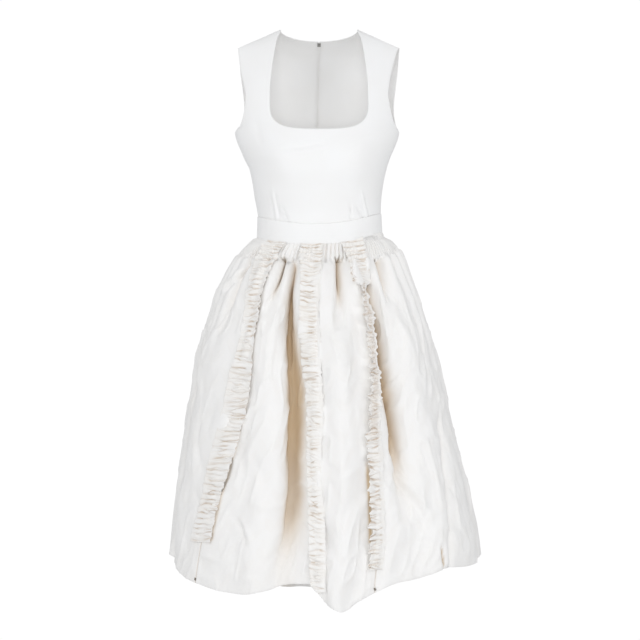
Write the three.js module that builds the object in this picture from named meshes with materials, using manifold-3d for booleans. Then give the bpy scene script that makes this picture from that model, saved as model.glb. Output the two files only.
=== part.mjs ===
// A sleeveless dirndl in ivory cloth: a fitted bodice with a deep square neckline, a plain waistband,
// and a full gathered skirt with three ruffle strips over its front seams. It keeps the hollow form
// in which it is worn. Millimetres; +X is the viewer's right, the front faces -Y and +Z is up.
// The origin is midway between the two points where the straps' shoulder seams meet the neck edge.
import * as THREE from "three";
import Module from "manifold-3d";

// A table's rows, from its columns' names and their values.
function tableOf(columns, rows) {
  return rows.map((row) => Object.fromEntries(columns.map((column, i) => [column, row[i]])));
}

// Thickness of each cloth wall, and the gap that is left at every seam.
const seamGap = 0.3;
const bodiceCloth = 1.8;
const bandCloth = 2.2;
const bandProud = 1;
const skirtCloth = 1.6;
const ruffleCloth = 1.4;

// The general figure's outline at each height: half width, how far its middle lies to the right, and
// how deep it is in front and behind. The exponent makes each ring a little squarer than an ellipse.
const squareness = 2.2;
const figure = tableOf(
  ["height", "halfWidth", "shift", "front", "back"],
  [
    [0, 178, 0, 0.2, 0.2],
    [-3, 178, 0, 8, 12],
    [-8, 178, 0, 15, 28],
    [-20, 178, 0, 27, 52],
    [-50, 178, -1, 47, 80],
    [-100, 178, -2, 72, 98],
    [-150, 175, -3, 90, 106],
    [-190, 171, -4, 101, 107],
    [-216, 168, -4, 107, 106],
    [-263, 150, -4, 116, 104],
    [-288, 140, -2, 117, 103],
    [-337, 131, -2, 108, 99],
    [-386, 126, 1, 100, 97],
    [-425, 128, 2, 101, 98],
    [-436, 142.5, 5, 104, 105],
    [-460, 163, 2, 112, 120],
    [-509, 189, -2, 147, 147],
    [-558, 211, -4, 168, 166],
    [-656, 243, -5, 195, 192],
    [-755, 264, -2, 215, 212],
    [-853, 283, 2, 229, 226],
    [-952, 301, 8, 239, 236],
    [-1050, 317, 13, 247, 243],
    [-1180, 326, 15, 253, 248],
  ],
);

// Shoulders: the neck point, the outer tip, and how far the shoulder line falls between them.
const neckPoint = 78;
const shoulderTip = 164;
const shoulderFall = 38;
const fallReach = 1.1;
const underarmHeight = -216;

// Rows of the back pieces' mesh, below and above the underarm, and how they crowd towards the shoulder.
const backLowerRows = 8;
const backUpperRows = 11;
const rowCrowding = 1.7;

// The cups' fullness, shaped by the cut of the front.
const cupOut = 12;
const cupAside = 85;
const cupHeight = -270;
const cupWide = 45;
const cupTall = 50;

// Front neckline: its sides down to the rounded corners, then a squared curve across the bust.
const neckSides = [
  { height: 0, halfWidth: 78 },
  { height: -22, halfWidth: 86.5 },
  { height: -58, halfWidth: 92.5 },
  { height: -94, halfWidth: 97 },
  { height: -129, halfWidth: 99.6 },
  { height: -150, halfWidth: 100 },
];
const neckCornerTop = -150;
const neckBottom = -212;
const neckHalfWidth = 100;
const neckSquareness = 3.4;
const backNeckDrop = 18;
const backNeckRound = 1.9;

// Armhole edges, as the distance of each from the middle.
const armholes = [
  { height: -38, frontLeft: 166, frontRight: 162, back: 165 },
  { height: -79, frontLeft: 161, frontRight: 150, back: 163 },
  { height: -114, frontLeft: 153.5, frontRight: 143, back: 159 },
  { height: -140, frontLeft: 149, frontRight: 140.5, back: 156 },
  { height: -161, frontLeft: 150, frontRight: 144, back: 155 },
  { height: -188, frontLeft: 155.5, frontRight: 150, back: 158 },
  { height: -202, frontLeft: 161.5, frontRight: 156.5, back: 162 },
];

// Waistband edges: height at the sides, how far the front dips, and how much higher the right side is.
const bandTop = { side: -381, dip: 21, tilt: 3.5 };
const bandBottom = { side: -421, dip: 22, tilt: 5.7 };
const bandMiddle = -400;
const bandColumns = { front: 28, back: 14 };
const bandRows = 3;

// The three front skirt seams that the ruffles cover, as angles round the skirt from the front middle.
const frontSeams = [
  { height: -448, left: -36, centre: -5, right: 22 },
  { height: -523, left: -35, centre: -3, right: 26 },
  { height: -600, left: -32, centre: -2, right: 26 },
  { height: -760, left: -35, centre: -1, right: 23 },
  { height: -890, left: -42, centre: -2, right: 20 },
  { height: -1025, left: -49, centre: -2, right: 17 },
  { height: -1110, left: -52, centre: -2, right: 15 },
];

// Height of the hem round the skirt. The front is lifted beside one low ridge, and the back hangs lowest.
const hem = [
  { angle: -180, height: -1174 },
  { angle: -150, height: -1158 },
  { angle: -123, height: -1118 },
  { angle: -104, height: -1086 },
  { angle: -90, height: -1073 },
  { angle: -80, height: -1078 },
  { angle: -69, height: -1094 },
  { angle: -59, height: -1108 },
  { angle: -28, height: -1129 },
  { angle: -12, height: -1109 },
  { angle: -5, height: -1106 },
  { angle: 1, height: -1150 },
  { angle: 4, height: -1158 },
  { angle: 10, height: -1138 },
  { angle: 23, height: -1107 },
  { angle: 33, height: -1099 },
  { angle: 46, height: -1082 },
  { angle: 60, height: -1085 },
  { angle: 75, height: -1080 },
  { angle: 90, height: -1080 },
  { angle: 104, height: -1090 },
  { angle: 123, height: -1104 },
  { angle: 150, height: -1138 },
  { angle: 180, height: -1174 },
];

// The skirt's folds: angle near the band, halfway and at the hem; width; how far the cloth goes in
// or out; the heights where a fold starts, is full, eases off and ends; and the share left below that.
const foldLevels = { top: -480, middle: -770, low: -1110 };
const folds = tableOf(
  ["top", "middle", "low", "wide", "out", "starts", "full", "eases", "ends", "left"],
  [
    [-16, -8, -12, 20, -38, -465, -660, -900, -1070, 0.25],
    [-24, -19, -19, 9, -10, -458, -500, -520, -580, 0],
    [14, 11, 11, 12, -16, -458, -510, -550, -650, 0],
    [29, 30, 34, 21, -37, -470, -620, -800, -990, 0.15],
    [42, 41, 41, 11, -12, -458, -495, -515, -580, 0],
    [66, 63, 45, 9, -9, -720, -850, -1200, -1300, 1],
    [-52, -62, -64, 11, -13, -440, -475, -520, -650, 0.1],
    [-23, -18, -25, 30, 13, -470, -620, -1000, -1160, 0.6],
    [5, 9, 3, 27, 22, -470, -640, -1200, -1300, 1],
    [50, 47, 42, 36, 12, -490, -650, -1000, -1160, 0.6],
    [-75, -78, -80, 24, -9, -500, -700, -1200, -1300, 1],
    [82, 84, 80, 22, -8, -500, -700, -1200, -1300, 1],
    [108, 110, 111, 24, -24, -470, -700, -1200, -1300, 1],
    [129, 130, 127, 17, -16, -470, -600, -800, -1050, 0.3],
    [150, 149, 151, 24, -32, -470, -660, -1200, -1300, 1],
    [168, 170, 169, 18, -18, -470, -560, -760, -1000, 0.3],
    [-165, -167, -166, 22, -26, -470, -680, -1200, -1300, 1],
    [-144, -145, -147, 18, -18, -470, -580, -780, -1000, 0.3],
    [-124, -122, -124, 25, -30, -470, -660, -1200, -1300, 1],
    [-101, -102, -104, 20, -16, -470, -640, -900, -1100, 0.5],
  ],
);

// Small gathers under the band: half their depth, and how far below the band they hold and die out.
const gatherHalfDepth = 1.6;
const gathersHold = 34;
const gathersEnd = 62;

// Share of the way from band to hem at each row of the skirt's mesh: close rows for the gathers, then wide.
const gatherRows = [0, 0.02, 0.04, 0.062, 0.09, 0.13, 0.18];
const foldRows = [0.245, 0.32, 0.41, 0.51, 0.61, 0.71, 0.81, 0.91, 1];
const skirtRows = [...gatherRows, ...foldRows];

// Steps for measuring on the curved cloth: half a step for slopes, the turn that distances are walked
// in, and how often a seam's place is closed in on. Angles go once round in a full turn.
const slopeStep = 0.5;
const walkTurn = 0.25;
const seamTurns = 12;
const fullTurn = 360;
const halfTurn = 180;

// The skirt's panels in order round it: the seams between which each lies, the columns of its mesh, and
// on which of its edges a ruffle lies.
const skirtCut = tableOf(
  ["name", "from", "to", "columns", "ruffleFrom", "ruffleTo"],
  [
    ["front_left", "leftSide", "left", 16, false, true],
    ["front_centre_left", "left", "centre", 12, true, true],
    ["front_centre_right", "centre", "right", 12, true, true],
    ["front_right", "right", "rightSide", 16, true, false],
    ["back_right", "rightSide", "backRight", 32, false, false],
    ["back_left", "backLeft", "leftSide", 32, false, false],
  ],
);

// Ruffle strips: half their width, where each ends, and how many waves it has.
const ruffleHalfWidth = 21;
const ruffleLift = 1;
const ruffleWaves = { edge: 4, stitched: 1.6 };
const ruffles = [
  { name: "left", ends: -1032, waves: 44 },
  { name: "centre", ends: -1121, waves: 46 },
  { name: "right", ends: -1078, waves: 45 },
];

// Centre back zip: how far down it goes, its chain, and its slider with the neck through the seam.
const zipEnd = -600;
const zipHalfWidth = 2.4;
const zipThick = 1.2;
const zipUnderBodice = bodiceCloth + 2 * seamGap;
const zipUnderSkirt = 2.9;
const sliderHeight = 8;
const sliderBelowNeck = 0.5;
const sliderHalfWidth = 3.4;
const sliderThick = 2.2;
const sliderNeckHalfWidth = 0.5;
const sliderNeckHeight = 1.6;
const partedEdge = 0.9;
const partedLength = 18;

// The pull tab turns on a cross pin outside the back.
const pinHalfLength = 2.6;
const pinHalfSize = 0.55;
const pinStandOff = 1.9;
const eyeInner = 1;
const eyeOuter = 1.6;
const eyeOverlap = 0.35;
const eyeSegments = 12;
const tabLength = 19;
const tabHalfWidth = 3;
const tabNeckHalfWidth = 2.1;
const tabThick = 1;
const tabSegments = 6;

// Finishes.
const ivory = new THREE.Color(0.93, 0.905, 0.865);
const steel = new THREE.Color(0.5, 0.5, 0.5);
const clothRoughness = 0.85;
const steelRoughness = 0.35;

const wasm = await Module();
wasm.setup();

const mix = (from, to, share) => from + (to - from) * share;
const clamp = (value, low, high) => Math.min(high, Math.max(low, value));
const ease = (share) => {
  const s = clamp(share, 0, 1);
  return s * s * (3 - 2 * s);
};
const radians = THREE.MathUtils.degToRad;
const degrees = THREE.MathUtils.radToDeg;
const signedPower = (value, power) => Math.sign(value) * Math.abs(value) ** power;

// A smooth curve through one column of a table that never swings past its own rows.
function curve(rows, key, column) {
  const knots = rows.map((row) => ({ at: row[key], value: row[column] })).sort((a, b) => a.at - b.at);
  const last = knots.length - 1;
  const rises = [];
  for (let i = 0; i < last; i += 1) {
    rises.push((knots[i + 1].value - knots[i].value) / (knots[i + 1].at - knots[i].at));
  }
  const slopes = knots.map((knot, i) => {
    if (i === 0) return rises[0];
    if (i === last) return rises[last - 1];
    const product = rises[i - 1] * rises[i];
    return product > 0 ? (2 * product) / (rises[i - 1] + rises[i]) : 0;
  });
  return (place) => {
    const at = clamp(place, knots[0].at, knots[last].at);
    let i = 0;
    while (i < last - 1 && at > knots[i + 1].at) i += 1;
    const step = knots[i + 1].at - knots[i].at;
    const s = (at - knots[i].at) / step;
    const bend = s * s * (3 - 2 * s);
    const leave = s * (1 - s) * (1 - s) * slopes[i];
    const arrive = s * s * (1 - s) * slopes[i + 1];
    return mix(knots[i].value, knots[i + 1].value, bend) + step * (leave - arrive);
  };
}

const halfWidthAt = curve(figure, "height", "halfWidth");
const shiftAt = curve(figure, "height", "shift");
const frontAt = curve(figure, "height", "front");
const backAt = curve(figure, "height", "back");
const hemAt = curve(hem, "angle", "height");

// The shoulder line falls away outwards; lower down the rings are level.
function levelOf(across, height) {
  const along = (Math.abs(across) - neckPoint) / (shoulderTip - neckPoint);
  const fall = shoulderFall * clamp(along, 0, fallReach);
  const hold = ease(1 - height / underarmHeight);
  return Math.min(0, height + fall * hold);
}

// A point on the figure at an angle round it, where 0 is the front middle and 90 is the right side.
function figurePoint(angle, height) {
  const turn = radians(angle);
  const reach = signedPower(Math.sin(turn), 2 / squareness);
  const inward = Math.abs(Math.cos(turn)) ** (2 / squareness);
  const inFront = Math.cos(turn) > 0;
  const across = shiftAt(height) + halfWidthAt(height) * reach;
  const level = levelOf(across, height);
  const depth = inFront ? -frontAt(level) * inward : backAt(level) * inward;
  const point = new THREE.Vector3(across, depth, height);
  if (inFront) {
    const aside = (Math.abs(across) - cupAside) / cupWide;
    const above = (height - cupHeight) / cupTall;
    point.y -= cupOut * inward * Math.exp(-aside * aside - above * above);
  }
  return point;
}

// The angle at which the figure is a given distance from the middle.
function angleAt(across, height, behind) {
  const reach = clamp((across - shiftAt(height)) / halfWidthAt(height), -1, 1);
  const angle = degrees(Math.asin(signedPower(reach, squareness / 2)));
  if (!behind) return angle;
  return angle < 0 ? -halfTurn - angle : halfTurn - angle;
}

// The direction straight out of the figure's surface.
function outward(angle, height) {
  const along = figurePoint(angle + slopeStep, height).sub(figurePoint(angle - slopeStep, height));
  const up = figurePoint(angle, height + slopeStep).sub(figurePoint(angle, height - slopeStep));
  return along.cross(up).normalize();
}

// The level direction out of the figure, along which bands, folds and gathers are moved.
function levelOutward(angle, height) {
  return outward(angle, height).setZ(0).normalize();
}

// The turn in degrees that moves a point a given distance round the figure.
function turnFor(distance, angle, height) {
  const ahead = figurePoint(angle + slopeStep, height);
  const behind = figurePoint(angle - slopeStep, height);
  return (distance * 2 * slopeStep) / ahead.distanceTo(behind);
}

function bandEdge(edge, angle) {
  const turn = radians(angle);
  const reach = signedPower(Math.sin(turn), 2 / squareness);
  const dip = Math.cos(turn) > 0 ? edge.dip * (1 - reach * reach) : 0;
  return edge.side - dip + edge.tilt * reach;
}

// How far the folds push the skirt in or out at one place.
function foldOut(angle, height) {
  const perDegree = 1 / turnFor(1, angle, height);
  let out = 0;
  for (const fold of folds) {
    const upper = (height - foldLevels.top) / (foldLevels.middle - foldLevels.top);
    const lower = (height - foldLevels.middle) / (foldLevels.low - foldLevels.middle);
    const middle = mix(fold.top, fold.middle, ease(upper));
    const centre = height > foldLevels.middle ? middle : mix(fold.middle, fold.low, clamp(lower, 0, 1));
    const turn = ((angle - centre + fullTurn + halfTurn) % fullTurn) - halfTurn;
    const away = turn * perDegree;
    const grown = ease((fold.starts - height) / (fold.starts - fold.full));
    const kept = mix(1, fold.left, ease((fold.eases - height) / (fold.eases - fold.ends)));
    out += fold.out * grown * kept * Math.exp(-((away / fold.wide) ** 2));
  }
  return out;
}

// One closed wall of even thickness from a grid of outer points. Empty places in the grid stay open,
// and each cell is split along the diagonal that lies further in.
function wall(points, directions, thickness) {
  const positions = [];
  const index = points.map((row) => row.map(() => -1));
  let count = 0;
  for (let r = 0; r < points.length; r += 1) {
    for (let c = 0; c < points[r].length; c += 1) {
      if (points[r][c]) {
        index[r][c] = count;
        count += 1;
      }
    }
  }
  const inner = [];
  points.forEach((row, r) => {
    row.forEach((point, c) => {
      if (!point) return;
      positions.push(point.x, point.y, point.z);
      const under = point.clone().addScaledVector(directions[r][c], -thickness);
      inner.push(under.x, under.y, under.z);
    });
  });
  const faces = [];
  for (let r = 0; r + 1 < points.length; r += 1) {
    for (let c = 0; c + 1 < points[r].length; c += 1) {
      const corners = [index[r][c], index[r][c + 1], index[r + 1][c + 1], index[r + 1][c]];
      if (corners.every((corner) => corner >= 0)) {
        const [near, beside, across, above] = corners;
        const diagonal = points[r][c].clone().add(points[r + 1][c + 1]);
        const other = points[r][c + 1].clone().add(points[r + 1][c]);
        if (diagonal.sub(other).dot(directions[r][c]) < 0) {
          faces.push([near, beside, across], [near, across, above]);
        } else {
          faces.push([near, beside, above], [beside, across, above]);
        }
      }
    }
  }
  const edges = new Map();
  for (const face of faces) {
    face.forEach((from, i) => {
      const to = face[(i + 1) % face.length];
      edges.set(`${from}>${to}`, [from, to]);
    });
  }
  const triangles = [];
  for (const [a, b, c] of faces) {
    triangles.push(a, b, c, c + count, b + count, a + count);
  }
  for (const [from, to] of edges.values()) {
    if (!edges.has(`${to}>${from}`)) {
      triangles.push(to, from, from + count, to, from + count, to + count);
    }
  }
  return closedMesh([...positions, ...inner], triangles);
}

// A geometry whose faces point out.
function closedMesh(positions, triangles) {
  const corner = (i) => new THREE.Vector3().fromArray(positions, triangles[i] * 3);
  let volume = 0;
  for (let i = 0; i < triangles.length; i += 3) {
    volume += corner(i).dot(corner(i + 1).cross(corner(i + 2)));
  }
  if (volume < 0) triangles.reverse();
  const geometry = new THREE.BufferGeometry();
  geometry.setAttribute("position", new THREE.Float32BufferAttribute(positions, 3));
  geometry.setIndex(triangles);
  return geometry;
}

// A grid of angle and height that fills the space between four edges, each a function of its share.
// Rows may stand evenly or crowd towards the top.
function fill(bottom, top, start, end, columns, rows, rowShare = (share) => share) {
  const grid = [];
  for (let r = 0; r <= rows; r += 1) {
    const v = rowShare(r / rows);
    const line = [];
    for (let c = 0; c <= columns; c += 1) {
      const u = c / columns;
      const place = [0, 1].map((axis) => {
        const upDown = mix(bottom(u)[axis], top(u)[axis], v);
        const sideways = mix(start(v)[axis], end(v)[axis], u);
        const lowCorners = mix(bottom(0)[axis], bottom(1)[axis], u);
        const highCorners = mix(top(0)[axis], top(1)[axis], u);
        return upDown + sideways - mix(lowCorners, highCorners, v);
      });
      line.push(place);
    }
    grid.push(line);
  }
  return grid;
}

const crowdedUp = (share) => 1 - (1 - share) ** rowCrowding;

const group = new THREE.Group();

function addMesh(name, geometry, color, roughness, metalness) {
  const material = new THREE.MeshStandardMaterial({ color, roughness, metalness, side: THREE.FrontSide });
  const mesh = new THREE.Mesh(geometry, material);
  mesh.name = name;
  group.add(mesh);
  return mesh;
}

const addCloth = (name, geometry) => addMesh(name, geometry, ivory, clothRoughness, 0);
const addMetal = (name, geometry) => addMesh(name, geometry, steel, steelRoughness, 1);

// A bodice piece: grid places become points on the figure, and at the shoulder seam the cut end is upright.
function bodicePiece(name, places, isShoulder, seamSide) {
  const points = places.map((row) => row.map((place) => (place ? figurePoint(place[0], place[1]) : null)));
  const directions = places.map((row, r) =>
    row.map((place, c) => {
      if (!place) return null;
      const direction = outward(place[0], place[1]);
      if (isShoulder(r, c)) {
        points[r][c].y = seamSide * (seamGap / 2);
        direction.set(0, 0, 1);
      }
      return direction;
    }),
  );
  addCloth(name, wall(points, directions, bodiceCloth));
}

const frontArmholeLeft = curve(armholes, "height", "frontLeft");
const frontArmholeRight = curve(armholes, "height", "frontRight");
const backArmhole = curve(armholes, "height", "back");
const neckSideAt = curve(neckSides, "height", "halfWidth");
const bodiceHem = (angle) => bandEdge(bandTop, angle) + seamGap / 2;
const sideAngle = (side) => side * (90 - turnFor(seamGap / 2, 90, underarmHeight));
const armholeFoot = armholes.at(-1).height;
const armholeTop = (height) => ease((height - underarmHeight) / (armholeFoot - underarmHeight));

// Half width of the front neckline at a height.
function neckEdge(height) {
  if (height > neckCornerTop) return neckSideAt(height);
  const down = clamp((neckCornerTop - height) / (neckCornerTop - neckBottom), 0, 1);
  return neckHalfWidth * (1 - down ** neckSquareness) ** (1 / neckSquareness);
}

// Height of the front neckline under a place across the bust.
function neckFloor(across) {
  const reach = Math.abs(across) / neckHalfWidth;
  const down = (1 - reach ** neckSquareness) ** (1 / neckSquareness);
  return mix(neckCornerTop, neckBottom, down);
}

const neckCorner = neckHalfWidth * 0.5 ** (1 / neckSquareness);
const neckCornerHeight = neckFloor(neckCorner);

function shoulderPlace(share, side, behind) {
  const across = mix(shoulderTip, neckPoint, share);
  const height = mix(-shoulderFall, 0, share);
  return [angleAt(side * across, height, behind), height];
}

function armholePlace(share, side, edge, behind) {
  const height = mix(underarmHeight, -shoulderFall, share);
  const open = armholeTop(height);
  const place = angleAt(side * edge(height), height, behind);
  const seam = behind ? side * halfTurn - sideAngle(side) : sideAngle(side);
  return [mix(seam, place, open), height];
}

// The front is one piece from side seam to side seam, with both straps.
function makeFront() {
  const strapColumns = 5;
  const neckColumns = 16;
  const lowerRows = 9;
  const strapRows = 10;
  const columns = 2 * strapColumns + neckColumns;
  const topEdge = (u) => {
    const column = u * columns;
    const fromSide = Math.min(column, columns - column) / strapColumns;
    const side = column < columns / 2 ? -1 : 1;
    if (fromSide <= 1) {
      const corner = angleAt(side * neckCorner, neckCornerHeight, false);
      return [mix(sideAngle(side), corner, fromSide), mix(underarmHeight, neckCornerHeight, fromSide)];
    }
    const across = neckCorner * ((column - columns / 2) / (neckColumns / 2));
    const height = neckFloor(across);
    return [angleAt(across, height, false), height];
  };
  const waist = (u) => {
    const angle = mix(sideAngle(-1), sideAngle(1), u);
    return [angle, bodiceHem(angle)];
  };
  const sideSeam = (side) => (v) => [sideAngle(side), mix(bodiceHem(side * 90), underarmHeight, v)];
  const places = fill(waist, topEdge, sideSeam(-1), sideSeam(1), columns, lowerRows);
  const strap = (side) => {
    const low = (u) => topEdge(side < 0 ? (u * strapColumns) / columns : 1 - (u * strapColumns) / columns);
    const high = (u) => shoulderPlace(u, side, false);
    const edge = side < 0 ? frontArmholeLeft : frontArmholeRight;
    const arm = (v) => armholePlace(v, side, edge, false);
    const neck = (v) => {
      const height = mix(neckCornerHeight, 0, v);
      return [angleAt(side * neckEdge(height), height, false), height];
    };
    return fill(low, high, arm, neck, strapColumns, strapRows, crowdedUp);
  };
  const left = strap(-1);
  const right = strap(1);
  for (let r = 1; r <= strapRows; r += 1) {
    const gap = new Array(neckColumns - 1).fill(null);
    places.push([...left[r], ...gap, ...right[r].slice().reverse()]);
  }
  bodicePiece("bodice_front", places, (r) => r === lowerRows + strapRows, -1);
}

// Each back piece runs from its side seam to the zip. Its edge is parted a little round the slider's neck.
function makeBack(name, side) {
  const shoulderColumns = 5;
  const neckColumns = 6;
  const columns = shoulderColumns + neckColumns;
  const zipEdge = (height) => {
    const parted = ease((height + backNeckDrop + partedLength) / (partedLength / 2));
    return side * (halfTurn - turnFor(mix(seamGap / 2, partedEdge, parted), halfTurn, height));
  };
  const seam = side * halfTurn - sideAngle(side);
  const topEdge = (u) => {
    const column = u * columns;
    if (column <= shoulderColumns) return shoulderPlace(column / shoulderColumns, side, true);
    const turn = ((column - shoulderColumns) / neckColumns) * (Math.PI / 2);
    const across = neckPoint * Math.cos(turn) ** (2 / backNeckRound);
    const height = -backNeckDrop * Math.sin(turn) ** (2 / backNeckRound);
    return [column === columns ? zipEdge(height) : angleAt(side * across, height, true), height];
  };
  const level = (u) => [mix(seam, zipEdge(underarmHeight), u), underarmHeight];
  const waist = (u) => {
    const angle = mix(seam, zipEdge(bodiceHem(halfTurn)), u);
    return [angle, bodiceHem(angle)];
  };
  const arm = (v) => armholePlace(v, side, backArmhole, true);
  const zip = (low, high) => (v) => {
    const height = mix(low, high, v);
    return [zipEdge(height), height];
  };
  const sideSeam = (v) => [seam, mix(bodiceHem(side * 90), underarmHeight, v)];
  const lower = fill(waist, level, sideSeam, zip(waist(1)[1], underarmHeight), columns, backLowerRows);
  const zipAbove = zip(underarmHeight, -backNeckDrop);
  const upper = fill(level, topEdge, arm, zipAbove, columns, backUpperRows, crowdedUp);
  const places = [...lower, ...upper.slice(1)];
  const isShoulder = (r, c) => r === backLowerRows + backUpperRows && c <= shoulderColumns;
  bodicePiece(name, places, isShoulder, 1);
}

// A waistband piece between two angles, a little proud of the bodice.
function makeBand(name, from, to, columns) {
  const points = [];
  const directions = [];
  for (let r = 0; r <= bandRows; r += 1) {
    const pointRow = [];
    const directionRow = [];
    for (let c = 0; c <= columns; c += 1) {
      const angle = mix(from, to, c / columns);
      const low = bandEdge(bandBottom, angle) + seamGap / 2;
      const high = bandEdge(bandTop, angle) - seamGap / 2;
      const height = mix(low, high, r / bandRows);
      const direction = levelOutward(angle, height);
      pointRow.push(figurePoint(angle, height).addScaledVector(direction, bandProud));
      directionRow.push(direction);
    }
    points.push(pointRow);
    directions.push(directionRow);
  }
  addCloth(name, wall(points, directions, bandCloth));
}

const seamAngle = {
  left: curve(frontSeams, "height", "left"),
  centre: curve(frontSeams, "height", "centre"),
  right: curve(frontSeams, "height", "right"),
  leftSide: () => -90,
  rightSide: () => 90,
  backLeft: () => -halfTurn,
  backRight: () => halfTurn,
};

// Height of the skirt's cloth at an angle and a share of the way from band to hem.
function skirtHeight(angle, share) {
  return mix(bandEdge(bandBottom, angle) - seamGap / 2, hemAt(angle), share);
}

// A point of the folded skirt, before its small gathers.
function skirtPoint(angle, share) {
  const height = skirtHeight(angle, share);
  return figurePoint(angle, height).addScaledVector(levelOutward(angle, height), foldOut(angle, height));
}

// The level step from one point of the folded skirt to the next round it.
function skirtStep(from, to, share) {
  return skirtPoint(to, share).sub(skirtPoint(from, share)).setZ(0);
}

// The level direction straight out of the folded skirt.
function skirtOutward(angle, share) {
  const along = skirtStep(angle - walkTurn, angle + walkTurn, share);
  return new THREE.Vector3(along.y, -along.x, 0).normalize();
}

// The angle reached by going a distance round the folded cloth.
function walkRound(angle, share, distance) {
  const turn = Math.sign(distance) * walkTurn;
  let left = Math.abs(distance);
  let here = angle;
  let step = skirtStep(here, here + turn, share).length();
  while (left > step) {
    left -= step;
    here += turn;
    step = skirtStep(here, here + turn, share).length();
  }
  return here + (turn * left) / step;
}

// The angle of a seam at a share of the way down, found by closing in on it.
function seamPlace(seam, share) {
  let angle = seamAngle[seam](frontSeams[0].height);
  for (let turn = 0; turn < seamTurns; turn += 1) angle = seamAngle[seam](skirtHeight(angle, share));
  return angle;
}

// One skirt panel. Where a ruffle lies on its edge, the next column is where the ruffle's edge lies.
function skirtPanel({ from, to, columns, ruffleFrom, ruffleTo }) {
  const points = [];
  const directions = [];
  for (const share of skirtRows) {
    const pointRow = [];
    const directionRow = [];
    const start = seamPlace(from, share);
    const end = seamPlace(to, share);
    const startGap = walkRound(start, share, seamGap / 2);
    const endGap = walkRound(end, share, -seamGap / 2);
    const evenFrom = ruffleFrom ? walkRound(start, share, ruffleHalfWidth) : startGap;
    const evenTo = ruffleTo ? walkRound(end, share, -ruffleHalfWidth) : endGap;
    const even = columns - (ruffleFrom ? 1 : 0) - (ruffleTo ? 1 : 0);
    const angles = [];
    for (let c = 0; c <= even; c += 1) angles.push(mix(evenFrom, evenTo, c / even));
    if (ruffleFrom) angles.unshift(startGap);
    if (ruffleTo) angles.push(endGap);
    angles.forEach((angle, c) => {
      const height = skirtHeight(angle, share);
      const below = skirtHeight(angle, 0) - height;
      const gathered = gatherHalfDepth * (1 - ease((below - gathersHold) / (gathersEnd - gathersHold)));
      const isEdge = c === 0 || c === angles.length - 1;
      const wave = isEdge ? 0 : gathered * (c % 2 === 0 ? 1 : -1);
      const direction = skirtOutward(angle, share);
      pointRow.push(skirtPoint(angle, share).addScaledVector(direction, wave));
      directionRow.push(direction);
    });
    points.push(pointRow);
    directions.push(directionRow);
  }
  return { points, directions };
}

// A ruffle strip made from the panel points on both sides of a seam, moved out. It zigzags in waves.
function makeRuffle({ name, ends, waves }, leftPanel, rightPanel) {
  const last = leftPanel.points[0].length - 1;
  const lines = [
    { panel: leftPanel, column: last - 1, wave: ruffleWaves.edge },
    { panel: leftPanel, column: last, wave: ruffleWaves.stitched },
    { panel: rightPanel, column: 1, wave: ruffleWaves.edge },
  ];
  const seam = leftPanel.points.map((row) => row[last]);
  let endRow = seam.findIndex((point) => point.z < ends);
  if (endRow < 0) endRow = seam.length - 1;
  const into = (seam[endRow - 1].z - ends) / (seam[endRow - 1].z - seam[endRow].z);
  const length = endRow - 1 + clamp(into, 0, 1);
  const steps = waves * 2;
  const lengths = [0];
  for (let r = 1; r <= endRow; r += 1) lengths.push(lengths[r - 1] + seam[r].distanceTo(seam[r - 1]));
  const whole = mix(lengths[endRow - 1], lengths[endRow], length - (endRow - 1));
  const points = [];
  const directions = [];
  for (let s = 0; s <= steps; s += 1) {
    const along = (whole * s) / steps;
    let r = 0;
    while (r < endRow - 1 && along > lengths[r + 1]) r += 1;
    const share = clamp((along - lengths[r]) / (lengths[r + 1] - lengths[r]), 0, 1);
    const pointRow = [];
    const directionRow = [];
    for (const { panel, column, wave } of lines) {
      const direction = panel.directions[r][column].clone().lerp(panel.directions[r + 1][column], share);
      direction.normalize();
      const lift = ruffleLift + ruffleCloth + (s % 2 === 0 ? 0 : wave);
      const base = panel.points[r][column].clone().lerp(panel.points[r + 1][column], share);
      pointRow.push(base.addScaledVector(direction, lift));
      directionRow.push(direction);
    }
    points.push(pointRow);
    directions.push(directionRow);
  }
  addCloth(`ruffle_${name}`, wall(points, directions, ruffleCloth));
}

function makeSkirt() {
  const panels = skirtCut.map(skirtPanel);
  skirtCut.forEach(({ name }, i) => {
    addCloth(`skirt_${name}`, wall(panels[i].points, panels[i].directions, skirtCloth));
  });
  ruffles.forEach((ruffle, i) => makeRuffle(ruffle, panels[i], panels[i + 1]));
}

// Where the slider sits: a place on the centre back, its height and how far its face leans back.
function sliderPlace() {
  const height = -backNeckDrop - sliderBelowNeck - sliderHeight / 2;
  const direction = outward(halfTurn, height);
  return { point: figurePoint(halfTurn, height), lean: Math.atan2(direction.z, direction.y) };
}

// The zip's closed chain lies just inside the centre back seam, row for row with the cloth beside it.
function makeZipChain() {
  const { point: middle, lean } = sliderPlace();
  const foot = middle.z - (sliderHeight / 2) * Math.cos(lean) - seamGap;
  const heights = [foot];
  for (let r = backUpperRows; r > 0; r -= 1) {
    heights.push(mix(underarmHeight, -backNeckDrop, crowdedUp(r / backUpperRows)));
  }
  for (let r = backLowerRows; r >= 0; r -= 1) {
    heights.push(mix(bodiceHem(halfTurn), underarmHeight, r / backLowerRows));
  }
  const places = heights
    .filter((height) => height <= foot)
    .map((height) => {
      const out = outward(halfTurn, height);
      return { point: figurePoint(halfTurn, height).addScaledVector(out, -zipUnderBodice), out };
    });
  for (const share of skirtRows.filter((value) => skirtHeight(halfTurn, value) > zipEnd)) {
    const out = skirtOutward(halfTurn, share);
    places.push({ point: skirtPoint(halfTurn, share).addScaledVector(out, -zipUnderSkirt), out });
  }
  const beside = (point, x) => point.clone().setX(point.x + x);
  const rows = places.map(({ point }) => [beside(point, -zipHalfWidth), beside(point, zipHalfWidth)]);
  const directions = places.map(({ out }) => [out, out]);
  addMetal("zip_chain", wall(rows, directions, zipThick));
}

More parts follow.
